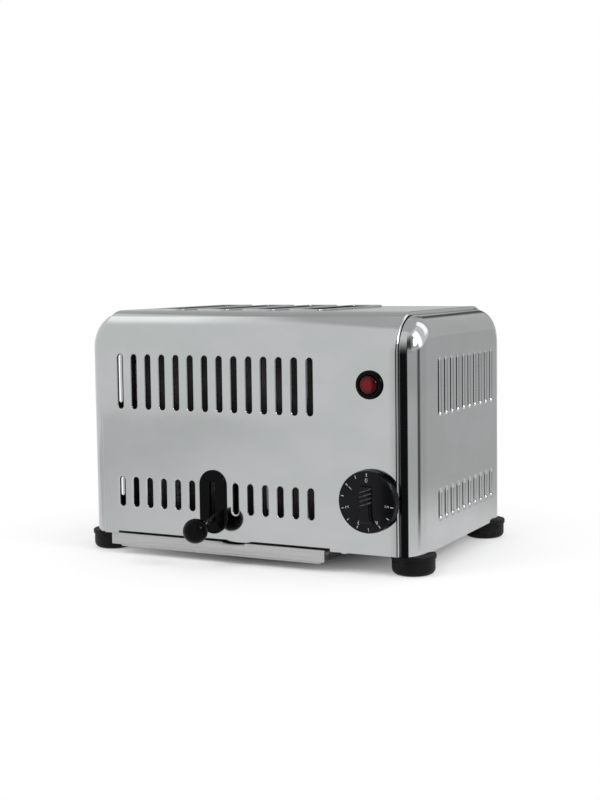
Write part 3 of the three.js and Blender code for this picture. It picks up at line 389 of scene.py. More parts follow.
def add_rings(shape, rings, loop=True, closed=False, ends=()):
    """Join neighbouring rings of equally many points by faces; ends lists rings that are filled."""
    points, faces = shape
    base, count = len(points), len(rings[0])
    for ring in rings:
        points.extend(ring)
    starts = [base + count * k for k in range(len(rings))]
    pairs = list(zip(starts, starts[1:])) + ([(starts[-1], base)] if closed else [])
    for a, b in pairs:
        for i in range(count if loop else count - 1):
            j = (i + 1) % count
            faces.append([a + i, a + j, b + j, b + i])
    for k in ends:
        faces.append([starts[k] + i for i in range(count)])


def make_object(name, shape, material, extra_meshes=()):
    """An object at the origin with a shape's faces and those of meshes, welded and turned outwards."""
    mesh = bpy.data.meshes.new(name)
    mesh.from_pydata(shape[0], [], shape[1])
    bm = bmesh.new()
    bm.from_mesh(mesh)
    for extra in extra_meshes:
        bm.from_mesh(extra)
    bmesh.ops.remove_doubles(bm, verts=bm.verts, dist=WELD)
    bmesh.ops.dissolve_degenerate(bm, edges=bm.edges, dist=WELD)
    bmesh.ops.recalc_face_normals(bm, faces=bm.faces)
    bm.to_mesh(mesh)
    bm.free()
    mesh.materials.append(material)
    return add_object(name, mesh)


def ring_object(name, rings, material, extra_meshes=(), **joining):
    """An object from one set of rings."""
    shape = ([], [])
    add_rings(shape, rings, **joining)
    return make_object(name, shape, material, extra_meshes)


def plain_mesh(piece):
    """The piece's mesh after its modifiers, as a plain mesh."""
    depsgraph = bpy.context.evaluated_depsgraph_get()
    return bpy.data.meshes.new_from_object(piece.evaluated_get(depsgraph))


def thicken(piece, thickness):
    """Give a skin its sheet thickness, inwards."""
    solidify = piece.modifiers.new("sheet", "SOLIDIFY")
    solidify.thickness = thickness
    solidify.offset = -1
    solidify.use_even_offset = True
    return piece


# %% Clean shading and seating
CREASE = math.radians(38)
SMALL_FACE_SHARE = 0.2


def clean_shading(mesh):
    """Smooth shading in which a large flat face keeps its own normal and small ones follow it."""
    bm = bmesh.new()
    bm.from_mesh(mesh)
    bm.faces.ensure_lookup_table()
    areas = [face.calc_area() for face in bm.faces]
    limit = math.cos(CREASE)
    normals = []
    for face in bm.faces:
        for corner in face.loops:
            near = [f for f in corner.vert.link_faces if f.normal.dot(face.normal) > limit] or [face]
            least = SMALL_FACE_SHARE * max(areas[f.index] for f in near)
            total = Vector()
            for f in near:
                if areas[f.index] >= least:
                    total += f.normal * areas[f.index]
            normals.append(total.normalized())
    bm.free()
    mesh.polygons.foreach_set("use_smooth", [True] * len(mesh.polygons))
    mesh.normals_split_custom_set(normals)


def settle(piece, body, slot, *nodes):
    """Bake the modifiers, clean the shading and seat the piece on its body in place of CAD nodes."""
    mesh = plain_mesh(piece)
    piece.modifiers.clear()
    piece.data = mesh
    mesh.name = piece.name
    clean_shading(mesh)
    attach(piece, body)
    if nodes:
        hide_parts(*nodes)
    triangles = sum(len(face.vertices) - 2 for face in mesh.polygons)
    print(piece.name, "rides on", body, "with", triangles, "triangles")


# %% [markdown]
# Arcs and outlines. A rounded outline has the same number of points whatever its size, so a family of
# them, each a little larger and lower than the last, makes a rolled rim.

# %% Arcs and outlines


def arc(centre_point, radius, start, end, steps):
    """Points on an arc between two angles in degrees; radius may be a pair for an ellipse."""
    rx, ry = radius if isinstance(radius, tuple) else (radius, radius)
    angles = [math.radians(start + (end - start) * i / steps) for i in range(steps + 1)]
    return [(centre_point[0] + rx * math.cos(a), centre_point[1] + ry * math.sin(a)) for a in angles]


def rounded_outline(width, height, radius, steps):
    """A rectangle round the origin with round corners, anticlockwise from its lower right corner."""
    x, y = width / 2 - radius, height / 2 - radius
    points = []
    for corner_middle, start in (((x, -y), -90), ((x, y), 0), ((-x, y), 90), ((-x, -y), 180)):
        points.extend(arc(corner_middle, radius, start, start + 90, steps))
    return points


def raised(outline, z):
    return [(x, y, z) for x, y in outline]


def at_x(x, line):
    return [(x, y, z) for y, z in line]


def moved(outline, x, y):
    return [(px + x, py + y) for px, py in outline]


def outline_rings(width, height, radius, profile, steps):
    """One ring for each pair in profile, which gives how far out and how high it lies."""
    return [raised(rounded_outline(width + 2 * out, height + 2 * out, radius + out, steps), high)
            for out, high in profile]


def circle(radius, z, steps):
    turns = [2 * math.pi * i / steps for i in range(steps)]
    return [(radius * math.cos(a), radius * math.sin(a), z) for a in turns]


def mix(first, second, share):
    return first + (second - first) * share


def placed(rings, matrix):
    return [[tuple(matrix @ Vector(point)) for point in ring] for ring in rings]


def facing(x, y, z, place, unit=1):
    """Takes the local axes to three directions at a place; unit is MM for points in millimetres."""
    columns = Matrix((x, y, z)).transposed().to_4x4()
    return Matrix.Translation(place) @ columns @ Matrix.Scale(unit, 4)


EAST, NORTH, UP = Vector((1, 0, 0)), Vector((0, 1, 0)), Vector((0, 0, 1))
ON_FRONT = facing(EAST, UP, -NORTH, Vector((0, FRONT, 0)))
ON_BACK = facing(-EAST, UP, NORTH, Vector((0, BACK, 0)))
ON_TOP = facing(EAST, NORTH, UP, Vector((0, 0, TOP)))
print("panel planes at", round(FRONT, 4), round(BACK, 4), round(TOP, 4))

# %% [markdown]
# Geometry Nodes do the punching. The first recipe sets copies of one rolled rim along a row, leaving out
# the columns that stay closed. The second takes all rims and outlines of a panel, fills the sheet between
# them and welds it. Numbers are named inputs, so the two recipes serve the vents of all four sides and
# the bread slots.

# %% Recipe helpers


def new_recipe(name, **sizes):
    """A Geometry Nodes tree with named inputs; returns its nodes and the inputs as wires."""
    tree = bpy.data.node_groups.new(name, "GeometryNodeTree")
    for label, kind in {"Geometry": "Geometry", **sizes, "Material": "Material"}.items():
        tree.interface.new_socket(label.replace("_", " "), in_out="INPUT", socket_type="NodeSocket" + kind)
    tree.interface.new_socket("Geometry", in_out="OUTPUT", socket_type="NodeSocketGeometry")
    nodes = Nodes(tree)
    entry = tree.nodes.new("NodeGroupInput")
    return nodes, {socket.name: Wire(nodes, socket) for socket in entry.outputs if socket.name}


def end_recipe(nodes, geometry, material):
    """Make instances real, set the material and send the result out."""
    whole = nodes.add("GeometryNodeRealizeInstances", inputs={"Geometry": geometry})
    painted = nodes.add("GeometryNodeSetMaterial", inputs={"Geometry": whole, "Material": material})
    nodes.add("NodeGroupOutput", inputs={"Geometry": painted})
    print("recipe", nodes.tree.name)
    return nodes.tree


def follow(tree, values, start=None):
    """Run a recipe on a helper object and return what it makes as a plain mesh."""
    helper = add_object(tree.name, start or bpy.data.meshes.new(tree.name))
    modifier = helper.modifiers.new(tree.name, "NODES")
    modifier.node_group = tree
    for item in tree.interface.items_tree:
        if item.in_out == "INPUT" and item.name in values:
            modifier[item.identifier] = values[item.name]
    mesh = plain_mesh(helper)
    bpy.data.objects.remove(helper)
    return mesh


# %% Recipes for a row of openings and for the sheet between them


def row_recipe():
    closed_columns = {"First_Closed": "Int", "Closed": "Int"}
    nodes, given = new_recipe("punched_row", Rim="Object", Columns="Int", Pitch="Float", **closed_columns)
    first_x = (1 - given["Columns"]) * 0.5 * given["Pitch"]
    start = nodes.add("ShaderNodeCombineXYZ", inputs={"X": first_x})
    step = nodes.add("ShaderNodeCombineXYZ", inputs={"X": given["Pitch"]})
    inputs = {"Count": given["Columns"], "Start Location": start, "Offset": step}
    line = nodes.add("GeometryNodeMeshLine", {"mode": "OFFSET"}, inputs)
    column = nodes.add("GeometryNodeInputIndex")
    past_closed = column > (given["First Closed"] + given["Closed"] - 0.5)
    is_open = (column < given["First Closed"]) + past_closed
    rim = nodes.add("GeometryNodeObjectInfo", inputs={"Object": given["Rim"]}, output="Geometry")
    inputs = {"Points": line, "Selection": is_open, "Instance": rim}
    return end_recipe(nodes, nodes.add("GeometryNodeInstanceOnPoints", inputs=inputs), given["Material"])


def sheet_recipe():
    nodes, given = new_recipe("filled_sheet", Weld="Float")
    faces_beside = nodes.add("GeometryNodeInputMeshEdgeNeighbors")
    place = nodes.add("GeometryNodeInputPosition")
    height = nodes.add("ShaderNodeSeparateXYZ", inputs={"Vector": place}, output="Z")
    on_edge = (faces_beside < 1.5) * height.math("COMPARE", height, 0.0, given["Weld"])
    inputs = {"Mesh": given["Geometry"], "Selection": on_edge}
    outlines = nodes.add("GeometryNodeMeshToCurve", inputs=inputs)
    sheet = nodes.add("GeometryNodeFillCurve", {"mode": "TRIANGLES"}, {"Curve": outlines})
    whole = nodes.add("GeometryNodeJoinGeometry", inputs={"Geometry": [given["Geometry"], sheet]})
    inputs = {"Geometry": whole, "Distance": given["Weld"]}
    welded = nodes.add("GeometryNodeMergeByDistance", inputs=inputs)
    return end_recipe(nodes, welded, given["Material"])


ROW, SHEET_FILL = row_recipe(), sheet_recipe()


def row_of(piece, count, pitch, place, material, first_closed=0, closed=0):
    """Copies of a piece in a row along X round a place, as one plain mesh; the piece itself is removed."""
    values = {"Rim": piece, "Columns": count, "Pitch": pitch, "Material": material}
    mesh = follow(ROW, {**values, "First Closed": first_closed, "Closed": closed})
    mesh.transform(Matrix.Translation(place))
    bpy.data.objects.remove(piece)
    return mesh


# %% [markdown]
# A vent is punched and its edge rolled inwards, which leaves a soft bright line round a dark opening. The
# rim goes from the sheet's plane through a quarter turn into a short flange.

# %% Vents and panels
VENT_WIDTH = 5.5 * MM
VENT_ROLL = 1.8 * MM
SIDE_VENT_ROLL = 2.5 * MM
VENT_FLANGE = 1 * MM
ROLL_STEPS, ROUND_STEPS = 6, 5


def vent_row(height, middle_x, top, columns, pitch, roll=VENT_ROLL, **closed_columns):
    """The rims of one row of vents as a mesh, in a panel's own plane."""
    profile = arc((roll, -roll), roll, 90, 180, ROLL_STEPS) + [(0, -roll - VENT_FLANGE)]
    rings = outline_rings(VENT_WIDTH, height, VENT_WIDTH / 2, profile, ROUND_STEPS)
    rim = ring_object("vent_rim", rings, POLISHED)
    return row_of(rim, columns, pitch, (middle_x, top - height / 2, 0), POLISHED, **closed_columns)


def filled_panel(name, border, rims, holes, matrix):
    """One flat sheet with the given border, rims and plain holes, moved from its own plane to its place."""
    bm = bmesh.new()
    for rim in rims:
        bm.from_mesh(rim)
    for outline in (border, *holes):
        corners = [bm.verts.new((x, y, 0)) for x, y in outline]
        for a, b in zip(corners, corners[1:] + corners[:1]):
            bm.edges.new((a, b))
    start = bpy.data.meshes.new(name)
    bm.to_mesh(start)
    bm.free()
    mesh = follow(SHEET_FILL, {"Weld": WELD, "Material": POLISHED}, start)
    mesh.transform(matrix)
    print(name, "has", len(mesh.polygons), "faces")
    return mesh


# %% [markdown]
# The front has two rows of fourteen vents, the lower one with a gap of two columns where the lever comes
# out, and plain holes behind the escutcheon, the lamp and the knob. The back has the upper row and the
# cord's hole. The bread slots' lips are drawn up out of the top sheet and rolled over inwards: a small
# fillet, a full round and a short skirt. The skirt hangs on the slot's real width, so bread slides past a
# smooth edge.

# %% Front, back and top panels
CHAMBER_X = centre("lever_ball").x
KNOB_X, KNOB_Z = centre("timer_spindle").x, centre("timer_spindle").z
LAMP_Z, PLATE_Z = centre("lamp_bezel").z, centre("lever_escutcheon").z
GLAND = centre("cable_gland")
END_ROLL = 1.9 * MM
PANEL_HALF = HALF_WIDTH - END_ROLL
UPPER_VENT = (49.8 * MM, TOP - 39.3 * MM)
LOWER_VENT = (27.2 * MM, FOOT_LINE + 53.2 * MM)
VENT_COLUMNS, VENT_PITCH = 14, 15 * MM
LEVER_GAP = {"first_closed": 6, "closed": 2}
GLAND_HOLE, SPINDLE_HOLE, LAMP_HOLE = 8.3 * MM, 7.3 * MM, 10 * MM
LEVER_WINDOW = (10.6 * MM, 42.6 * MM)
BREAD_SLOT = (30 * MM, 136 * MM, 5 * MM)
BREAD_PITCH, BREAD_SLOTS, BREAD_STEPS = 48 * MM, 4, 6
LIP_ROLL = 0.75 * MM
LIP_FILLET = 0.6 * MM
LIP_RISE = 1.35 * MM
LIP_SKIRT = 2.5 * MM
LIP_MARGIN = 0.2 * MM


def panel_border(low, high):
    return [(-PANEL_HALF, low), (PANEL_HALF, low), (PANEL_HALF, high), (-PANEL_HALF, high)]


def round_hole(x, z, radius):
    return arc((x, z), radius, 0, 345, 23)


def front_holes():
    window = rounded_outline(*LEVER_WINDOW, LEVER_WINDOW[0] / 2, ROUND_STEPS)
    knob_and_lamp = [round_hole(KNOB_X, KNOB_Z, SPINDLE_HOLE), round_hole(KNOB_X, LAMP_Z, LAMP_HOLE)]
    return [moved(window, CHAMBER_X, PLATE_Z), *knob_and_lamp]


def bread_lips():
    """Four lips: each a fillet, a full roll over the top, and a short skirt inside."""
    outside = 2 * LIP_ROLL + LIP_MARGIN + LIP_FILLET
    fillet = [(outside - x, LIP_FILLET - y) for x, y in arc((0, 0), LIP_FILLET, 90, 0, 3)]
    roll = arc((LIP_ROLL + LIP_MARGIN, LIP_RISE - LIP_ROLL), LIP_ROLL, 0, 180, 8)
    rings = outline_rings(*BREAD_SLOT, fillet + roll + [(LIP_MARGIN, -LIP_SKIRT)], BREAD_STEPS)
    lip = ring_object("bread_slot_lip", rings, POLISHED)
    return row_of(lip, BREAD_SLOTS, BREAD_PITCH, (CHAMBER_X, MIDDLE_Y, 0), POLISHED)


upper_row = vent_row(UPPER_VENT[0], CHAMBER_X, UPPER_VENT[1], VENT_COLUMNS, VENT_PITCH)
lower_row = vent_row(LOWER_VENT[0], CHAMBER_X, LOWER_VENT[1], VENT_COLUMNS, VENT_PITCH, **LEVER_GAP)
back_row = vent_row(UPPER_VENT[0], -CHAMBER_X, UPPER_VENT[1], VENT_COLUMNS, VENT_PITCH)
wall_border = panel_border(FOOT_LINE, TOP - BEND)
top_border = panel_border(FRONT + BEND, BACK - BEND)
gland_hole = round_hole(-GLAND.x, GLAND.z, GLAND_HOLE)
panels = [
    filled_panel("front_panel", wall_border, [upper_row, lower_row], front_holes(), ON_FRONT),
    filled_panel("back_panel", wall_border, [back_row], [gland_hole], ON_BACK),
    filled_panel("top_panel", top_border, [bread_lips()], [], ON_TOP),
]

# %% [markdown]
# The two long bends join the panels, and the sheet's ends are rolled over a wire's width so that no sharp
# edge shows beside the caps. All of it is one skin, which Solidify then thickens inwards by one sheet.

# %% Folded casing
BEND_STEPS, END_STEPS = 30, 8


def section(inset):
    """The casing's outline in (Y, Z) at an inset, from the front foot over the top to the rear foot."""
    radius = BEND - inset
    front_bend = arc((FRONT + BEND, TOP - BEND), radius, 180, 90, BEND_STEPS)
    back_bend = arc((BACK - BEND, TOP - BEND), radius, 90, 0, BEND_STEPS)
    return [(FRONT + inset, FOOT_LINE), *front_bend, *back_bend, (BACK - inset, FOOT_LINE)]


def quarter_turn(reach, inset, steps):
    """Pairs of how far out along X and how far the section is drawn in, over a quarter of an ellipse."""
    angles = [math.radians(90 * i / steps) for i in range(steps + 1)]
    return [(reach * math.sin(a), inset * (1 - math.cos(a))) for a in angles]


def folded_casing():
    shape = ([], [])
    for first in (1, 2 + BEND_STEPS):
        strip = section(0)[first:first + BEND_STEPS + 1]
        add_rings(shape, [at_x(-PANEL_HALF, strip), at_x(PANEL_HALF, strip)], loop=False)
    for side in (-1, 1):
        rolled = [at_x(side * (PANEL_HALF + out), section(inset))
                  for out, inset in quarter_turn(END_ROLL, END_ROLL, END_STEPS)]
        add_rings(shape, rolled, loop=False)
    return make_object("folded_casing", shape, POLISHED, panels)


settle(thicken(folded_casing(), SHEET), "root", "polished_steel", "casing_wrapper")

# %% [markdown]
# Each end is closed by a pressed cap. Its flange slips under the casing, a small step makes the dark
# joint line, and then the cap swells out in a quarter ellipse to a flat face with two rows of vents.
# Rings of the casing's own outline, drawn in more and more, give the swelling, and the punched face
# closes it.

# %% End caps
CAP_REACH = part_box("end_cap_right")[1].x - HALF_WIDTH
CAP_ROUNDING = 20 * MM
CAP_INSET = 3 * MM
CAP_FLANGE = 8 * MM
CAP_FLANGE_INSET = 1.3 * MM
CAP_STEP = 1.5 * MM
CAP_STEPS = 18
SIDE_COLUMNS, SIDE_PITCH, SIDE_SHIFT = 10, 14.5 * MM, 7.25 * MM
SIDE_ROWS = ((48.5 * MM, TOP - 41 * MM), (24.6 * MM, FOOT_LINE + 50.2 * MM))


def cap_face(side):
    middle = (MIDDLE_Y + SIDE_SHIFT) * side
    rims = [vent_row(height, middle, top, SIDE_COLUMNS, SIDE_PITCH, SIDE_VENT_ROLL)
            for height, top in SIDE_ROWS]
    border = [(y * side, z) for y, z in section(CAP_INSET + CAP_ROUNDING)]
    place = Vector((side * (HALF_WIDTH + CAP_REACH), 0, 0))
    return filled_panel("cap_face", border, rims, [], facing(NORTH * side, UP, EAST * side, place))


def pressed_cap(name, side):
    steps = [(-CAP_FLANGE, CAP_FLANGE_INSET), (-CAP_STEP, CAP_FLANGE_INSET), (-CAP_STEP, CAP_INSET)]
    steps += [(out, CAP_INSET + inset) for out, inset in quarter_turn(CAP_REACH, CAP_ROUNDING, CAP_STEPS)]
    rings = [at_x(side * (HALF_WIDTH + out), section(inset)) for out, inset in steps]
    return ring_object(name, rings, POLISHED, [cap_face(side)], loop=False)


for side_name, side in (("right", 1), ("left", -1)):
    cap = thicken(pressed_cap(f"pressed_cap_{side_name}", side), SHEET)
    settle(cap, "root", "polished_steel", f"end_cap_{side_name}")

# %% [markdown]
# Turned pieces share one helper: a profile of radius and height, turned round an axis that points out of
# the front panel. The knob is one satin moulding: a hollow disc with a chamfered rim that catches one
# thin line of light, a face domed very slightly, and a wing grip. The grip is drawn as rings from its
# foot to its top, wider at the foot, with a rounded crest. Four low ribs cross its upper half a little
# askew.

# %% Knob disc and grip, in millimetres
TURN_STEPS = 64
DIAL_MIDDLE = 9.8
DIAL_FALL = 0.0032
GRIP_CREST = 13
GRIP_FOOT = 6
FLANK_SPREAD = 0.5
CREST_EDGE, END_EDGE, END_HEIGHT = 2, 0.3, 10.5
RIB_SLOPE = math.tan(math.radians(19))
RIB_SIZE, RIB_SINK = (0.65, 1.3), 0.3
RIB_PLACES = (10.2, 6.4, 2.6, -1.2)


def turned_piece(name, profile, matrix, material, closed=False, steps=TURN_STEPS):
    """A turned object; the profile starts and ends on the axis, or closes on itself."""
    rings = [circle(radius, z, steps) for radius, z in profile]
    return ring_object(name, placed(rings, matrix), material, closed=closed)


def on_front(x, z):
    """Takes millimetres to the front panel, with local Z out of it and local X to the right."""
    return facing(EAST, UP, -NORTH, Vector((x, FRONT, z)), MM)


def dial_height(radius):
    """The dial falls a little towards its rim, like a very flat dome."""
    return DIAL_MIDDLE - DIAL_FALL * radius ** 2


def knob_profile():
    """From the bore over the hollow back, the chamfered rim and the domed face back to the bore."""
    back = [(3.3, 1), (6.5, 1), (6.5, 4), (23, 4), (23, 1), (26.6, 1)]
    rim = [(27, 1.4), (27, 3.6), (26.5, 7.2), (25.9, 7.9), (25.2, 7.9)]
    return back + rim + [(r, dial_height(r)) for r in (24.7, 23.2, 21.5, 20, 18, 16, 14, 12, 10, 8, 6, 3.3)]


def grip_ring(along, width, crest):
    """A cross-section of the grip: straight flanks from the disc, and a crest with rounded edges."""
    edge = END_EDGE if crest < END_HEIGHT else CREST_EDGE
    left = arc((-width / 2 + edge, crest - edge), edge, 180, 90, 5)
    right = arc((width / 2 - edge, crest - edge), edge, 90, 0, 5)
    foot = width / 2 + FLANK_SPREAD
    return [(x, along, z) for x, z in [(-foot, GRIP_FOOT), *left, *right, (foot, GRIP_FOOT)]]


def knob_grip(matrix):
    """Rows of place along the grip, width and height of the crest."""
    rows = [
        (-19, 14, 8.3), (-18.2, 13.8, 9.8), (-16.6, 13.2, 11.2), (-14, 12, 12.3), (-10.5, 10.8, 12.9),
        (0, 10, 13), (11.5, 9.8, 13), (12.7, 9.6, 12.6), (13.7, 9.2, 11.4), (14.5, 8.4, 8.4),
    ]
    rings = placed([grip_ring(*row) for row in rows], matrix)
    return ring_object("timer_knob_grip", rings, SATIN_BLACK, ends=(0, -1))


def knob_ribs(matrix):
    """Half-round ribs across the crest and down both flanks."""
    down = [(3.1, 0), (4.4, -0.7), (5.0, -1.9), (5.1, -3.4)]
    path = [(-x, low) for x, low in reversed(down)] + down
    shape = ([], [])
    for start in RIB_PLACES:
        rings = []
        for x, low in path:
            line = arc((start + x * RIB_SLOPE, GRIP_CREST + low - RIB_SINK), RIB_SIZE, 0, 180, 6)
            rings.append([(x, along, z) for along, z in line])
        add_rings(shape, placed(rings, matrix), ends=(0, -1))
    return make_object("timer_knob_ribs", shape, RIB_HIGHLIGHT_BLACK)


knob_matrix = on_front(KNOB_X, KNOB_Z)
knob = turned_piece("timer_dial_knob", knob_profile(), knob_matrix, SATIN_BLACK, closed=True)
settle(knob, "knob", "satin_black_plastic", "timer_knob")
settle(knob_grip(knob_matrix), "knob", "satin_black_plastic")
# The ribs' paler black is a painted highlight.
settle(knob_ribs(knob_matrix), "knob", "satin_black_plastic")

# %% [markdown]
# The dial is printed on the disc: eleven marks from 0 at the top, anticlockwise, with plain numbers at
# every second one, tops outwards. A Geometry Nodes row on an arc sets the marks, and each number is a
# text turned into a mesh. All of it is dropped on to the dome.

# %% Dial marks and numbers
DIAL_STEP = math.radians(26.25)
DIAL_MARKS, DIAL_NUMBERS = 11, 6
MARK_RADIUS, NUMBER_RADIUS = 23.2 * MM, 18.6 * MM
MARK_LENGTH, MARK_WIDTH, NUMBER_SIZE = 2.6 * MM, 0.75 * MM, 5.2 * MM
INK_HEIGHT = 0.06 * MM


def dial_recipe():
    sizes = dict.fromkeys(("Step", "Radius", "Length", "Width", "Thickness"), "Float")
    nodes, given = new_recipe("dial_marks", Marks="Int", **sizes)
    line = nodes.add("GeometryNodeMeshLine", {"mode": "OFFSET"}, {"Count": given["Marks"]})
    angle = nodes.add("GeometryNodeInputIndex") * given["Step"]
    inputs = {"X": angle.math("SINE", angle) * given["Radius"] * -1,
              "Y": angle.math("COSINE", angle) * given["Radius"]}
    place = nodes.add("ShaderNodeCombineXYZ", inputs=inputs)
    round_points = nodes.add("GeometryNodeSetPosition", inputs={"Geometry": line, "Position": place})
    inputs = {"X": given["Width"], "Y": given["Length"], "Z": given["Thickness"]}
    size = nodes.add("ShaderNodeCombineXYZ", inputs=inputs)
    bar = nodes.add("GeometryNodeMeshCube", inputs={"Size": size})
    turned = nodes.add("ShaderNodeCombineXYZ", inputs={"Z": angle})
    inputs = {"Points": round_points, "Instance": bar, "Rotation": turned}
    return end_recipe(nodes, nodes.add("GeometryNodeInstanceOnPoints", inputs=inputs), given["Material"])


def number_mesh(text):
    """A text as a thin mesh, centred on the origin."""
    curve = bpy.data.curves.new("number_" + text, "FONT")
    curve.body = text
    curve.size = NUMBER_SIZE
    curve.align_x = "CENTER"
    curve.align_y = "CENTER"
    curve.extrude = INK_HEIGHT / 2
    holder = add_object("number_" + text, curve)
    mesh = plain_mesh(holder)
    bpy.data.objects.remove(holder)
    return mesh


def dial_print():
    values = {"Marks": DIAL_MARKS, "Step": DIAL_STEP, "Radius": MARK_RADIUS, "Length": MARK_LENGTH,
              "Width": MARK_WIDTH, "Thickness": INK_HEIGHT, "Material": INK}
    meshes = [follow(dial_recipe(), values)]
    for number in range(DIAL_NUMBERS):
        mesh = number_mesh(str(number))
        spin = Matrix.Rotation(number * 2 * DIAL_STEP, 4, "Z")
        mesh.transform(spin @ Matrix.Translation((0, NUMBER_RADIUS, 0)))
        meshes.append(mesh)
    for mesh in meshes:
        for vertex in mesh.vertices:
            vertex.co.z += dial_height(vertex.co.xy.length / MM) * MM + INK_HEIGHT / 2
        mesh.transform(facing(EAST, UP, -NORTH, Vector((KNOB_X, FRONT, KNOB_Z))))
    return make_object("dial_print", ([], []), INK, meshes)


settle(dial_print(), "knob", "pale_nylon")

# %% [markdown]
# The lamp: a glossy black ring with a long barrel behind the panel, and a domed red lens that stands a
# little proud of it.

# %% Lamp ring and lens, in millimetres
LAMP_RING, RING_FACE, RING_ROUND, MOUTH_ROUND = 12.3, 2.4, 1.9, 0.5
LENS_RADIUS, LENS_DOME = 8, 2.9


def lamp_ring_profile():
    mouth = LENS_RADIUS + 0.3
    barrel = [(0, -24), (9.7, -24), (9.7, 0.3), (LAMP_RING - 0.3, 0.3), (LAMP_RING, 0.6)]
    outside = arc((LAMP_RING - RING_ROUND, 1.1), RING_ROUND, 0, 90, 8)
    inside = arc((mouth + MOUTH_ROUND, RING_FACE - MOUTH_ROUND), MOUTH_ROUND, 90, 180, 4)
    return barrel + outside + inside + [(mouth, -2), (0, -2)]


dome = arc((0, RING_FACE), (LENS_RADIUS, LENS_DOME), 8, 90, 16)
lens_profile = [(0, -1.7), (LENS_RADIUS, -1.7), (LENS_RADIUS, 2.4), *dome]
lamp_matrix = on_front(KNOB_X, LAMP_Z)
lamp_ring = turned_piece("lamp_ring", lamp_ring_profile(), lamp_matrix, GLOSS_BLACK)
lamp_lens = turned_piece("lamp_red_lens", lens_profile, lamp_matrix, LENS)
settle(lamp_ring, "root", "gloss_black_plastic", "lamp_bezel")
settle(lamp_lens, "root", "red_lens", "lamp_lens")

# %% [markdown]
# The lever: a ball of glossy phenolic on a bright rod. Rod and ball are turned round the line from the
# pivot pin to the ball, so both are drawn along that line and ride on the lever's body. The ball has a
# small flat where the rod enters, and the rod ends in a flattened ring that turns on the pin.

# %% Lever rod and ball, in millimetres
BALL_RADIUS, ROD_RADIUS, MOUTH_RADIUS = 11, 2.25, 3.6
EYE_RADIUS, EYE_BORE, EYE_HALF, EYE_CHAMFER = 6, 2.8, 5.5, 0.5
BORE_DEPTH = 8
PIVOT = centre("lever_pivot_pin")
PIVOT.x = CHAMBER_X
rod_line = centre("lever_ball") - PIVOT
LEVER_LENGTH = rod_line.length / MM
rod_line.normalize()
lever_matrix = facing(EAST, rod_line.cross(EAST), rod_line, PIVOT, MM)


def ball_profile():
    """From the bottom of the bore out over the sphere."""
    bore, mouth = ROD_RADIUS + 0.3, LEVER_LENGTH - math.sqrt(BALL_RADIUS ** 2 - MOUTH_RADIUS ** 2)
    points = [(0, mouth + BORE_DEPTH), (bore, mouth + BORE_DEPTH), (bore, mouth + 0.3), (bore + 0.3, mouth)]
    low = -math.degrees(math.acos(MOUTH_RADIUS / BALL_RADIUS))
    return points + arc((0, LEVER_LENGTH), BALL_RADIUS, low, 90, 40)


def lever_rod():
    start, end = EYE_BORE + 0.8, LEVER_LENGTH - BALL_RADIUS + BORE_DEPTH
    rod = [(0, start), (ROD_RADIUS, start), (ROD_RADIUS, end - 0.4), (ROD_RADIUS - 0.4, end), (0, end)]
    edge, side = EYE_RADIUS - EYE_CHAMFER, EYE_HALF - EYE_CHAMFER
    eye = [(EYE_BORE, -EYE_HALF), (edge, -EYE_HALF), (EYE_RADIUS, -side)]
    eye += [(EYE_RADIUS, side), (edge, EYE_HALF), (EYE_BORE, EYE_HALF)]
    shape = ([], [])
    add_rings(shape, placed([circle(r, z, 32) for r, z in rod], lever_matrix))
    eye_matrix = facing(NORTH, UP, EAST, PIVOT, MM)
    add_rings(shape, placed([circle(r, z, 40) for r, z in eye], eye_matrix), closed=True)
    return make_object("lever_rod", shape, BRIGHT)


ball = turned_piece("lever_ball_grip", ball_profile(), lever_matrix, GLOSS_BLACK)
settle(ball, "lever", "gloss_black_plastic", "lever_ball")
settle(lever_rod(), "lever", "bright_steel", "lift_lever")

# %% [markdown]
# The escutcheon is a moulded oblong with a slot. Rings run over its rounded edge, across the face, into
# the slot and back along the collar that fits the casing's window, and close on themselves.

# %% Escutcheon, in millimetres
SLOT_OPENING, SLOT_COLLAR = (5.4, 36.6), (10, 42)
PLATE_EDGE, SLOT_EDGE, PLATE_FACE = 1.2, 1.1, 2.3


def escutcheon():
    """Rings as a width, a height and a distance out of the panel."""
    low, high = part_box("lever_escutcheon")
    plate = ((high.x - low.x) / MM, (high.z - low.z) / MM)
    outer_edge = arc((-PLATE_EDGE, 1.1), PLATE_EDGE, 0, 90, 5)
    inner_edge = [(1.7, PLATE_FACE), *arc((SLOT_EDGE, 1.2), SLOT_EDGE, 90, 180, 5), (0, -SHEET / MM)]
    steps = [(plate, 0, 0.3), (plate, 0, 1.1), *((plate, *step) for step in outer_edge)]
    steps += [(SLOT_OPENING, *step) for step in inner_edge]
    steps += [(SLOT_COLLAR, 0, -SHEET / MM), (SLOT_COLLAR, 0, 0.3)]
    rings = []
    for (width, height), out, z in steps:
        wide, tall = width + 2 * out, height + 2 * out
        rings.append(raised(rounded_outline(wide, tall, wide / 2, 12), z))
    rings = placed(rings, on_front(CHAMBER_X, PLATE_Z))
    return ring_object("lever_slot_plate", rings, GLOSS_BLACK, closed=True)


settle(escutcheon(), "root", "gloss_black_plastic", "lever_escutcheon")

# %% [markdown]
# Each foot is a rubber moulding with a flange, a slightly tapering body and a rounded bottom, hollow in
# the middle for its screw. Four turned copies stand where the CAD's feet stand.

# %% Rubber feet, in millimetres
FOOT_TOP, FOOT_SHOULDER, FOOT_FLANGE, FOOT_BODY, FOOT_BORE = 17.2, 13.2, 19.7, 18.7, 2.8
FLANGE_ROUND, FOOT_ROUND = 0.9, 5
FOOT_RECESS, RECESS_TOP = 8, 9


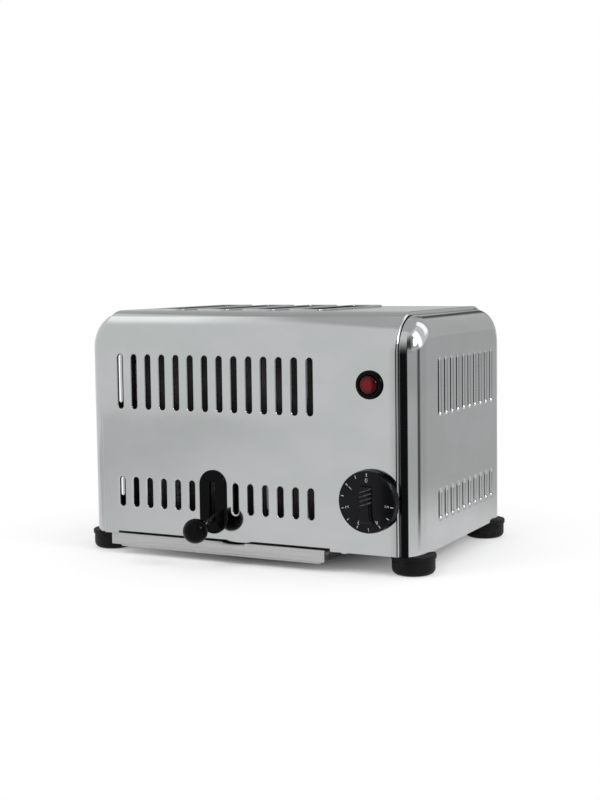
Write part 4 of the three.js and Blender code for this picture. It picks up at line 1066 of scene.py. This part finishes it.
def foot_profile():
    """From the bore over the flange and down the body to the recess under the foot."""
    edge = FOOT_FLANGE - FLANGE_ROUND
    points = [(FOOT_BORE, FOOT_TOP), (FOOT_FLANGE - 0.6, FOOT_TOP)]
    points += arc((edge, FOOT_TOP - FLANGE_ROUND), FLANGE_ROUND, 90, 0, 4)
    points += arc((edge, FOOT_SHOULDER + FLANGE_ROUND), FLANGE_ROUND, 0, -90, 4)
    points += [(FOOT_BODY - 0.1, FOOT_SHOULDER - 0.2), (FOOT_BODY, FOOT_SHOULDER - 1)]
    points += arc((FOOT_BODY - FOOT_ROUND, FOOT_ROUND), FOOT_ROUND, 0, -90, 8)
    points += [(FOOT_RECESS + 0.5, 0), (FOOT_RECESS, 0.5)]
    return points + [(FOOT_RECESS, RECESS_TOP), (FOOT_BORE, RECESS_TOP)]


for corner in ("front_left", "front_right", "rear_left", "rear_right"):
    spot = centre(f"foot_{corner}")
    spot.z = 0
    stand = facing(EAST, NORTH, UP, spot, MM)
    foot = turned_piece(f"rubber_foot_{corner}", foot_profile(), stand, RUBBER, closed=True)
    settle(foot, "root", "black_rubber", f"foot_{corner}")

# %% [markdown]
# The crumb tray is folded from thin sheet: a shallow pan with rims that slide in the runners, and a wider
# front lip whose top is turned back towards the panel and dips in a half-oval for a fingertip. Every fold
# is bent round a small radius.

# %% Crumb tray
tray_low, tray_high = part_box("crumb_tray")
TRAY_SHEET = 0.8 * MM
TRAY_MIDDLE, TRAY_HALF = CHAMBER_X + 5.45 * MM, 103 * MM
PAN_CORNER, PAN_ROUND = 2.5 * MM, 1.2 * MM
RIM_WIDTH, RIM_TOP, RIM_START = 4 * MM, FOOT_LINE - 1.8 * MM, FRONT + 8 * MM
RIM_FOLD, RIM_ROUND = 3 * MM, 0.8 * MM
LIP_BOTTOM, LIP_BACK = FOOT_LINE - 9 * MM, FRONT - 4.5 * MM
HEM_ROUND, LIP_ROUND = 0.9 * MM, 1 * MM
NOTCH_X, NOTCH_HALF, NOTCH_DIP = CHAMBER_X + 22.95 * MM, 12 * MM, 1.6 * MM


def lip_section(x):
    """The lip's outer line at a place along it, from its hem over the front to the top's back edge."""
    share = (x - NOTCH_X) / NOTCH_HALF
    top = tray_high.z - (NOTCH_DIP * math.sqrt(1 - share ** 2) if abs(share) < 1 else 0)
    hem = arc((tray_low.y + HEM_ROUND, LIP_BOTTOM + HEM_ROUND), HEM_ROUND, 270, 180, 4)
    bend = arc((tray_low.y + LIP_ROUND, top - LIP_ROUND), LIP_ROUND, 180, 90, 5)
    return at_x(x, [*hem, *bend, (LIP_BACK, top)])


def tray_lip():
    notch = [NOTCH_X + NOTCH_HALF * math.cos(math.radians(a)) for a in range(180, -1, -10)]
    rings = [lip_section(x) for x in (tray_low.x, *notch, tray_high.x)]
    return ring_object("crumb_tray_lip", rings, BRUSHED, loop=False)


def tray_pan():
    """The pan's skin from the rim over the walls to the floor."""
    front = tray_low.y + TRAY_SHEET
    fold = arc((-PAN_ROUND, tray_low.z + PAN_ROUND), PAN_ROUND, 360, 270, 4)
    profile = [(0, RIM_TOP), (0, tray_low.z + PAN_ROUND), *fold]
    rings = outline_rings(2 * TRAY_HALF, tray_high.y - front, PAN_CORNER, profile, 4)
    place = Matrix.Translation((TRAY_MIDDLE, (front + tray_high.y) / 2, 0))
    return ring_object("crumb_tray_pan", placed(rings, place), BRUSHED, ends=(-1,))


def tray_rim(name, side):
    """The flat rim folded out from the pan's wall."""
    fold = arc((RIM_ROUND, RIM_TOP - RIM_ROUND), RIM_ROUND, 180, 90, 4)
    line = [(0, RIM_TOP - RIM_FOLD), *fold, (RIM_WIDTH, RIM_TOP)]
    line = [(TRAY_MIDDLE + side * (TRAY_HALF + out), z) for out, z in line]
    rings = [[(x, y, z) for x, z in line] for y in (RIM_START, tray_high.y)]
    return ring_object(name, rings, BRUSHED, loop=False)


settle(thicken(tray_lip(), TRAY_SHEET), "tray", "brushed_steel", "crumb_tray")
for folded in (tray_pan(), tray_rim("crumb_tray_rim_left", -1), tray_rim("crumb_tray_rim_right", 1)):
    settle(thicken(folded, TRAY_SHEET), "tray", "brushed_steel")

# %% [markdown]
# The mains cord leaves through a moulded gland: a flange on the back sheet, a gripped ring and a tapering
# nose. The grips are lobes in the turned rings. Its bore is open, since the photograph shows no cord.

# %% Cable gland, in millimetres
GLAND_LOBES, LOBE_POINTS, GLAND_NOSE = 12, 8, 13.3


def gland_ring(radius, z, lobe):
    ring = []
    for i, (x, y, _) in enumerate(circle(1, 0, GLAND_LOBES * LOBE_POINTS)):
        out = radius + lobe * max(0, math.cos(2 * math.pi * i / LOBE_POINTS))
        ring.append((x * out, y * out, z))
    return ring


def cable_gland():
    """Rings as a radius, a height and a lobe, from the inner end of the bore round the outside."""
    sizes = [
        (4.2, -12, 0), (7.6, -12, 0), (8, -11.6, 0), (8, 0, 0), (10.6, 0, 0), (11, 0.4, 0), (11, 2.2, 0),
        (10.7, 2.8, 0), (10.2, 3, 0), (9.2, 3.1, 0), (9.1, 4, 0), (9.1, 4.3, 0.7), (8.7, 8.8, 0.7),
        (8.6, 9.3, 0), (7.9, 9.9, 0), (7.6, 10.6, 0), (7.5, 12.7, 0), (7.3, 13.1, 0), (6.9, 13.3, 0),
        (5, 13.3, 0), (4.5, 13, 0), (4.2, 12.4, 0),
    ]
    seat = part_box("cable_gland")[1].y - GLAND_NOSE * MM
    matrix = facing(-EAST, UP, NORTH, Vector((GLAND.x, seat, GLAND.z)), MM)
    rings = placed([gland_ring(*size) for size in sizes], matrix)
    return ring_object("cord_gland", rings, SATIN_BLACK, closed=True)


settle(cable_gland(), "root", "satin_black_plastic", "cable_gland")

# %% [markdown]
# Four pan-head screws hold the base plate from below. A cross-shaped wedge is cut out of one head, and
# the row recipe sets three along the back hem and one under the front.

# %% Base screws, in millimetres
SCREW_PITCH, SCREW_HEAD = 97, 2.4
IN_MM = Matrix.Scale(MM, 4)


def cross_ring(half, arm, z):
    """One level of the tapering cross that the driver's recess is cut with."""
    corner, outline = [(half, arm), (arm, arm), (arm, half)], []
    for _ in range(4):
        outline += corner
        corner = [(-y, x) for x, y in corner]
    return raised(outline, z)


def pan_screw():
    sizes = [(0, -4.8), (1.6, -4.8), (1.9, -4.4), (1.9, 0), (3.4, 0), (3.6, 0.2), (3.6, 0.8), (3.45, 1.3),
             (3.1, 1.7), (2.4, 2.1), (1.4, 2.33), (0, SCREW_HEAD)]
    screw = turned_piece("pan_screw", sizes, IN_MM, BRIGHT, steps=32)
    cross = placed([cross_ring(1.3, 0.3, 1), cross_ring(2.1, 0.5, 2.6)], IN_MM)
    cut = screw.modifiers.new("recess", "BOOLEAN")
    cut.operation = "DIFFERENCE"
    cut.object = ring_object("cross_wedge", cross, BRIGHT, ends=(0, -1))
    mesh = plain_mesh(screw)
    bpy.data.objects.remove(cut.object)
    screw.modifiers.clear()
    screw.data = mesh
    mesh.transform(facing(EAST, -NORTH, -UP, Vector()))
    return screw


def base_screws():
    rows = []
    for name, count in (("base_screw_front", 1), ("base_screw_rear_2", 3)):
        place = centre(name)
        place.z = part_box(name)[0].z + SCREW_HEAD * MM
        rows.append(row_of(pan_screw(), count, SCREW_PITCH * MM, place, BRIGHT))
    return make_object("base_plate_screws", ([], []), BRIGHT, rows)


settle(base_screws(), "root", "bright_steel", "base_screw_front", "base_screw_rear_1", "base_screw_rear_2",
       "base_screw_rear_3")

# %% [markdown]
# A bread cage is a row of bent wire hoops welded to four long wires, whose ends sit in holes of the
# chamber's walls. The wires cross beside one another and sink a little into each other at the welds.
# Round wire gives the thin bright lines seen through the slots. One cage is drawn, and the row recipe
# sets four.

# %% Bread cages
cage_low, cage_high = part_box("bread_cage_1")
WIRE_RADIUS, WIRE_SIDES = 0.8 * MM, 10
LONG_WIRE_X, LONG_WIRE_LOW, LONG_WIRE_HIGH = 13 * MM, 23 * MM, 5 * MM
HOOP_X, HOOP_BEND, HOOP_MARGIN = 11.9 * MM, 4 * MM, 22.8 * MM
HOOPS, CAGES = 5, 4


def wire_rings(path, side):
    """Circles round a path; side is a direction that is square to the whole path."""
    rings = []
    for k, spot in enumerate(path):
        along = (path[min(k + 1, len(path) - 1)] - path[max(k - 1, 0)]).normalized()
        across = along.cross(side)
        around = circle(WIRE_RADIUS, 0, WIRE_SIDES)
        rings.append([tuple(spot + side * x + across * y) for x, y, _ in around])
    return rings


def hoop_path(y):
    bottom, straight = cage_low.z + WIRE_RADIUS, HOOP_X - HOOP_BEND
    left = arc((-straight, bottom + HOOP_BEND), HOOP_BEND, 180, 270, 5)
    right = arc((straight, bottom + HOOP_BEND), HOOP_BEND, 270, 360, 5)
    return [Vector((x, y, z)) for x, z in [(-HOOP_X, cage_high.z), *left, *right, (HOOP_X, cage_high.z)]]


def one_cage():
    shape = ([], [])
    for k in range(HOOPS):
        y = mix(cage_low.y + HOOP_MARGIN, cage_high.y - HOOP_MARGIN, k / (HOOPS - 1))
        add_rings(shape, wire_rings(hoop_path(y), NORTH), ends=(0, -1))
    for x in (-LONG_WIRE_X, LONG_WIRE_X):
        for z in (cage_low.z + LONG_WIRE_LOW, cage_high.z - LONG_WIRE_HIGH):
            path = [Vector((x, cage_low.y, z)), Vector((x, cage_high.y, z))]
            add_rings(shape, wire_rings(path, UP), ends=(0, -1))
    return make_object("one_cage", shape, WIRE)


def in_chamber(name, piece, count, material):
    """Copies of a piece in a row across the toasting chamber, as one object."""
    row = row_of(piece, count, BREAD_PITCH, (CHAMBER_X, 0, 0), material)
    return make_object(name, ([], []), material, [row])


cages = in_chamber("bread_guide_wires", one_cage(), CAGES, WIRE)
settle(cages, "root", "bright_steel", *(f"bread_cage_{i + 1}" for i in range(CAGES)))

# %% [markdown]
# A heating element is a mica board with flat ribbon wound round it. The board's ends are notched so that
# the turns stay in place. The ribbon runs level on one face and slants to the next notch on the other.

# %% Heating elements
board_low, board_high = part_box("heating_element_1")
ELEMENTS = 5
BOARD_HALF = 0.6 * MM
NOTCH_IN, NOTCH_WIDE = 6 * MM, 3.8 * MM
RIBBON_TURNS, RIBBON_MARGIN, RIBBON_TAIL = 5, 12 * MM, 8 * MM
RIBBON_WIDE, RIBBON_THICK, RIBBON_GAP = 3 * MM, 0.4 * MM, 0.05 * MM


def turn_height(index):
    return mix(board_low.z + RIBBON_MARGIN, board_high.z - RIBBON_MARGIN, index / (RIBBON_TURNS - 1))


def board_side(y, inward):
    """The notched end of the board from bottom to top, as (y, z)."""
    points = [(y, board_low.z)]
    for index in range(RIBBON_TURNS):
        low, high = turn_height(index) - NOTCH_WIDE / 2, turn_height(index) + NOTCH_WIDE / 2
        points += [(y, low), (y + inward, low), (y + inward, high), (y, high)]
    return points + [(y, board_high.z)]


def one_board():
    outline = board_side(board_high.y, -NOTCH_IN) + board_side(board_low.y, NOTCH_IN)[::-1]
    rings = [at_x(x, outline) for x in (-BOARD_HALF, BOARD_HALF)]
    return ring_object("one_board", rings, MICA, ends=(0, -1))


def one_ribbon():
    """Each step of the path is a place beside the board and the direction its flat side looks."""
    front_end, back_end = board_low.y + NOTCH_IN, board_high.y - NOTCH_IN
    steps = [(front_end + RIBBON_TAIL, turn_height(0), 0)]
    for index in range(RIBBON_TURNS):
        steps += [(back_end, turn_height(index), angle) for angle in range(0, 181, 30)]
        if index < RIBBON_TURNS - 1:
            steps += [(front_end, turn_height(index + 1), angle) for angle in range(180, 361, 30)]
    steps.append((front_end + RIBBON_TAIL, turn_height(RIBBON_TURNS - 1), 180))
    wide, rings = UP * RIBBON_WIDE / 2, []
    for y, z, angle in steps:
        look = Vector((math.cos(math.radians(angle)), math.sin(math.radians(angle)), 0))
        inner = Vector((0, y, z)) + look * (BOARD_HALF + RIBBON_GAP)
        outer = inner + look * RIBBON_THICK
        rings.append([tuple(spot) for spot in (inner - wide, inner + wide, outer + wide, outer - wide)])
    return ring_object("one_ribbon", rings, RIBBON, ends=(0, -1))


boards = in_chamber("mica_boards", one_board(), ELEMENTS, MICA)
ribbons = in_chamber("heating_ribbons", one_ribbon(), ELEMENTS, RIBBON)
settle(boards, "root", "mica", *(f"heating_element_{i + 1}" for i in range(ELEMENTS)))
settle(ribbons, "root", "bright_steel")

# %% [markdown]
# The studio. A pale floor and a white world make the white ground, for the camera and for the metal,
# while the lamps and a dimmer world light the plain materials at about their own colour. The floor is
# matt near the toaster, so that a soft shadow shows on it, and takes on its own white further off.

# %% World and floor
AMBIENT = 0.75
FLOOR_HALF = 3.0
FLOOR_GREY = 0.98
SHADOW_REACH = (0.05, 0.36)
WHITE = (1, 1, 1, 1)


def bare_nodes(owner):
    """An empty node tree of a world or a material."""
    owner.use_nodes = True
    owner.node_tree.nodes.clear()
    return Nodes(owner.node_tree)


def shown_rays(nodes):
    """1 for rays from the camera and for those that metal or glass sends on, else 0."""
    camera_rays = nodes.add("ShaderNodeLightPath", output="Is Camera Ray")
    path = camera_rays.socket.node
    mirrored, sent_on = (Wire(nodes, path.outputs[f"Is {kind} Ray"]) for kind in ("Glossy", "Transmission"))
    return camera_rays.larger(mirrored).larger(sent_on)


def studio_world():
    world = bpy.data.worlds.new("studio")
    bpy.context.scene.world = world
    nodes = bare_nodes(world)
    strength = shown_rays(nodes) * (1 - AMBIENT) + AMBIENT
    sky = nodes.add("ShaderNodeBackground", inputs={"Color": WHITE, "Strength": strength})
    nodes.add("ShaderNodeOutputWorld", inputs={"Surface": sky})


def mixed_surface(name, share, first, second):
    """A material that mixes two shaders; share, first and second are functions of its nodes."""
    material = bpy.data.materials.new(name)
    nodes = bare_nodes(material)
    inputs = {0: share(nodes), 1: first(nodes), 2: second(nodes)}
    mixed = nodes.add("ShaderNodeMixShader", inputs=inputs)
    nodes.add("ShaderNodeOutputMaterial", inputs={"Surface": mixed})
    return material


def own_white(nodes):
    """How much of the floor is its own white: nothing near the toaster, all of it further off."""
    place = nodes.add("ShaderNodeTexCoord", output="Object")
    away = nodes.add("ShaderNodeVectorMath", {"operation": "LENGTH"}, {"Vector": place}, output="Value")
    reach = {"Value": away, "From Min": SHADOW_REACH[0], "From Max": SHADOW_REACH[1]}
    return shown_rays(nodes) * nodes.add("ShaderNodeMapRange", {"interpolation_type": "SMOOTHSTEP"}, reach)


def glow(strength):
    return lambda nodes: nodes.add("ShaderNodeEmission", inputs={"Color": WHITE, "Strength": strength})


def matt(nodes):
    return nodes.add("ShaderNodeBsdfDiffuse", inputs={"Color": (FLOOR_GREY, FLOOR_GREY, FLOOR_GREY, 1)})


studio_world()
floor_corners = [(x * FLOOR_HALF, y * FLOOR_HALF, 0) for x, y in ((-1, -1), (1, -1), (1, 1), (-1, 1))]
floor_paint = mixed_surface("studio_floor", own_white, matt, glow(1))
floor = make_object("studio_floor", (floor_corners, [[0, 1, 2, 3]]), floor_paint)
print("world and floor ready")

# %% [markdown]
# Polished steel shows whatever stands round it. A photographer sets black and grey cards and bright boxes
# about it, out of the picture, and so does this scene: soft-edged cards that only mirrors can see. Each
# is a grid whose points carry how much of the card is there, so that its edges fade as a fabric screen's
# edge does.

# %% Soft-edged cards
CARD_STEPS = 16
CORNER = Vector((HALF_WIDTH + 6 * MM, FRONT + 5 * MM, 0))
SHOULDER = CORNER + UP * 190 * MM


def heading(azimuth, elevation=0):
    """A direction by its azimuth, from the front towards the right, and its elevation in degrees."""
    around, above = math.radians(azimuth), math.radians(elevation)
    level = Vector((math.sin(around), -math.cos(around), 0)) * math.cos(above)
    return level + UP * math.sin(above)


def between(corners, u, v):
    """The place in a patch, whose corners run round it from the low left one."""
    return [mix(mix(a, b, u), mix(d, c, u), v) for a, b, c, d in zip(*corners)]


def screen(distance, *corners):
    """A curved screen round the shoulder, its corners an azimuth and an elevation each."""
    return lambda u, v: SHOULDER + heading(*between(corners, u, v)) * distance


def floor_part(height, azimuths, distances):
    """A sector of the floor in front of the near corner, at a small height."""
    return lambda u, v: CORNER + heading(mix(*azimuths, u)) * mix(*distances, v) + UP * height


def upright(distance, azimuths, heights):
    """A curved upright screen close in front of the near corner."""
    return lambda u, v: CORNER + heading(mix(*azimuths, u)) * distance + UP * mix(*heights, v)


def level_board(height, *corners):
    """A flat board that lies level."""
    return lambda u, v: Vector((*between(corners, u, v), height))


def ease(share):
    share = min(max(share, 0), 1)
    return share * share * (3 - 2 * share)


def card_cover(nodes):
    return nodes.add("ShaderNodeAttribute", {"attribute_name": "cover"}, output="Fac")


def clear_shader(nodes):
    return nodes.add("ShaderNodeBsdfTransparent")


def soft_card(name, place, grey, fades):
    """A card whose fades are the shares of it that soften at the left, right, low and high edge."""
    points, faces, cover = [], [], []
    row = CARD_STEPS + 1
    for k in range(row * row):
        u, v = k % row / CARD_STEPS, k // row / CARD_STEPS
        points.append(tuple(place(u, v)))
        ways = zip((u, 1 - u, v, 1 - v), fades)
        cover.append(math.prod(ease(way / fade) if fade else 1 for way, fade in ways))
        if u < 1 and v < 1:
            faces.append([k, k + 1, k + row + 1, k + row])
    mesh = bpy.data.meshes.new(name)
    mesh.from_pydata(points, [], faces)
    mesh.attributes.new("cover", "FLOAT", "POINT").data.foreach_set("value", cover)
    mesh.materials.append(mixed_surface(name + "_paint", card_cover, clear_shader, glow(grey)))
    board = add_object(name, mesh)
    for ray_kind in ("camera", "diffuse", "shadow", "transmission", "volume_scatter"):
        setattr(board, "visible_" + ray_kind, False)


# %% [markdown]
# Black in front of the near corner draws the dark line down it. The floor behind the right side is grey
# and pales towards the toaster, with one dark stripe across it. Two bright boxes at the right light the
# shoulder, one at the left lights the long bend, and a grey ceiling and grey walls behind calm the top. A
# small bright box gives the ball and the knob their glint, and a shade below stands for the dark under
# the toaster.

# %% Cards on the floor
FAR = 1.8
LAYER = 1 * MM
left_floor = level_board(LAYER, (-1.3, -1.2), (-0.35, -1.2), (0, -0.11), (-0.9, -0.11))
below = level_board(LAYER, (-0.15, -0.08), (0.155, -0.08), (0.155, 0.115), (-0.15, 0.115))
floor_cards = [
    ("grey_floor_right", floor_part(LAYER, (27, 100), (0.12, FAR)), 0.7, (0.04, 0, 0.22, 0)),
    ("grey_floor_back", floor_part(LAYER, (100, 178), (0.18, FAR)), 0.62, (0, 0.03, 0.22, 0)),
    ("dark_floor_stripe", floor_part(2 * LAYER, (84, 108), (0.1, FAR)), 0.12, (0.35, 0.35, 0.12, 0)),
    ("black_floor", floor_part(3 * LAYER, (-33, 35), (0.03, 0.07)), 0.01, (0.25, 0.05, 0.2, 0)),
    ("grey_floor_left", left_floor, 0.8, (0.1, 0.45, 0.1, 0.05)),
    ("shade_below", below, 0.02, (0.1, 0.1, 0.1, 0.1)),
]
for card in floor_cards:
    soft_card(*card)
print(len(floor_cards), "floor cards set")

# %% Screens and boxes
ceiling = level_board(1.7, (-0.54, -0.75), (1.1, -0.75), (1.1, 1.3), (-0.95, 0.6))
left_box = level_board(1.5, (-1.5, -0.5), (-0.6, -0.35), (-0.7, 0.55), (-1.5, 0.55))
screens = [
    ("grey_wall_right", screen(FAR, (27, -8), (178, -8), (178, 9), (27, 9)), 0.6, (0.02, 0.02, 0, 0.3)),
    ("dark_stand", screen(1.7, (84, -8), (108, -8), (108, 8), (84, 8)), 0.14, (0.35, 0.35, 0, 0.3)),
    ("dark_front_right", screen(0.3, (27, 0), (64, 0), (52, 60), (27, 64)), 0.07, (0.02, 0.3, 0.3, 0.5)),
    ("grey_front_right", screen(1.4, (40, 2), (104, 2), (66, 58), (40, 62)), 0.34, (0.2, 0.1, 0.3, 0.4)),
    ("black_front", upright(0.07, (-33, 35), (0, 0.27)), 0.01, (0.25, 0.05, 0, 0.3)),
    ("glint_box", screen(0.5, (68, 15), (90, 15), (90, 36), (68, 36)), 30, (0.3, 0.3, 0.3, 0.3)),
    ("bright_box_near", screen(0.56, (104, 6), (122, 6), (99, 53), (63, 50)), 2.5,
     (0.1, 0.1, 0.08, 0.06)),
    ("bright_box_far", screen(0.56, (134, 13), (149, 13), (158, 57), (126, 63)), 1.9,
     (0.15, 0.15, 0.1, 0.1)),
    ("dark_stand_back", screen(1.6, (-179, 0), (-164, 0), (-164, 42), (-179, 42)), 0.1, (0.4, 0.4, 0, 0.3)),
    ("grey_back_right", screen(1.7, (145, 0), (184, 0), (190, 64), (150, 64)), 0.66, (0.1, 0.1, 0, 0.1)),
    ("grey_back_left", screen(1.7, (-178, -8), (-122, -8), (-122, 60), (-178, 60)), 0.56,
     (0, 0.12, 0, 0.16)),
    ("grey_ceiling", ceiling, 0.68, (0.06, 0.06, 0.08, 0.06)),
    ("bright_box_left", left_box, 1.65, (0.1, 0.35, 0.6, 0.06)),
]
for card in screens:
    soft_card(*card)
print(len(screens), "screens and boxes set")

# %% [markdown]
# Two broad area lamps give the plain materials soft form: one high at the front left, one at the right.
# They stay out of mirrors, where the cards already show. A smaller key lamp puts a firmer light on the
# right of each piece.

# %% Lamps
AIM = Vector((0, 0, 0.1))
LAMPS = {"front_left_lamp": ((-1.2, -1.4, 1.6), 1.2, 16), "right_lamp": ((1.6, -0.4, 1.3), 1.0, 5),
         "right_key_lamp": ((1.2, -0.2, 0.8), 0.3, 4)}

for lamp_name, (lamp_place, lamp_size, power) in LAMPS.items():
    light = bpy.data.lights.new(lamp_name, "AREA")
    light.shape = "SQUARE"
    light.size = lamp_size
    light.energy = power
    lamp = add_object(lamp_name, light)
    look = (AIM - Vector(lamp_place)).to_track_quat("-Z", "Y").to_matrix().to_4x4()
    lamp.matrix_world = Matrix.Translation(lamp_place) @ look
    lamp.visible_glossy = False
print(len(LAMPS), "lamps set")

# %% [markdown]
# The pieces whose CAD shape is already right only need their finish. The CAD's slots say what each is
# made of, and the four walls of the chamber get the near-black inner sheet, a painted shade for the dark
# inside of the chamber.

# %% Finish for the carried-over nodes
SLOT_FINISH = {
    "polished_steel": POLISHED, "brushed_steel": BRUSHED, "galvanised_steel": GALVANISED,
    "bright_steel": BRIGHT, "gloss_black_plastic": GLOSS_BLACK, "satin_black_plastic": SATIN_BLACK,
    "black_rubber": RUBBER, "red_lens": LENS, "mica": MICA, "pale_nylon": NYLON,
}
# These walls take the near-black sheet, a painted shade for the dark inside of the chamber.
SHADED_WALL_NODES = ("inner_front_wall", "inner_rear_wall", "inner_left_wall", "inner_right_wall")
for node_name, node in frame["nodes"].items():
    for material_slot in node.material_slots:
        slot_name = material_slot.material.name.split(".")[0]
        material_slot.material = INNER_SHADE_SHEET if node_name in SHADED_WALL_NODES else SLOT_FINISH[slot_name]
print("finished", len(frame["nodes"]), "nodes")
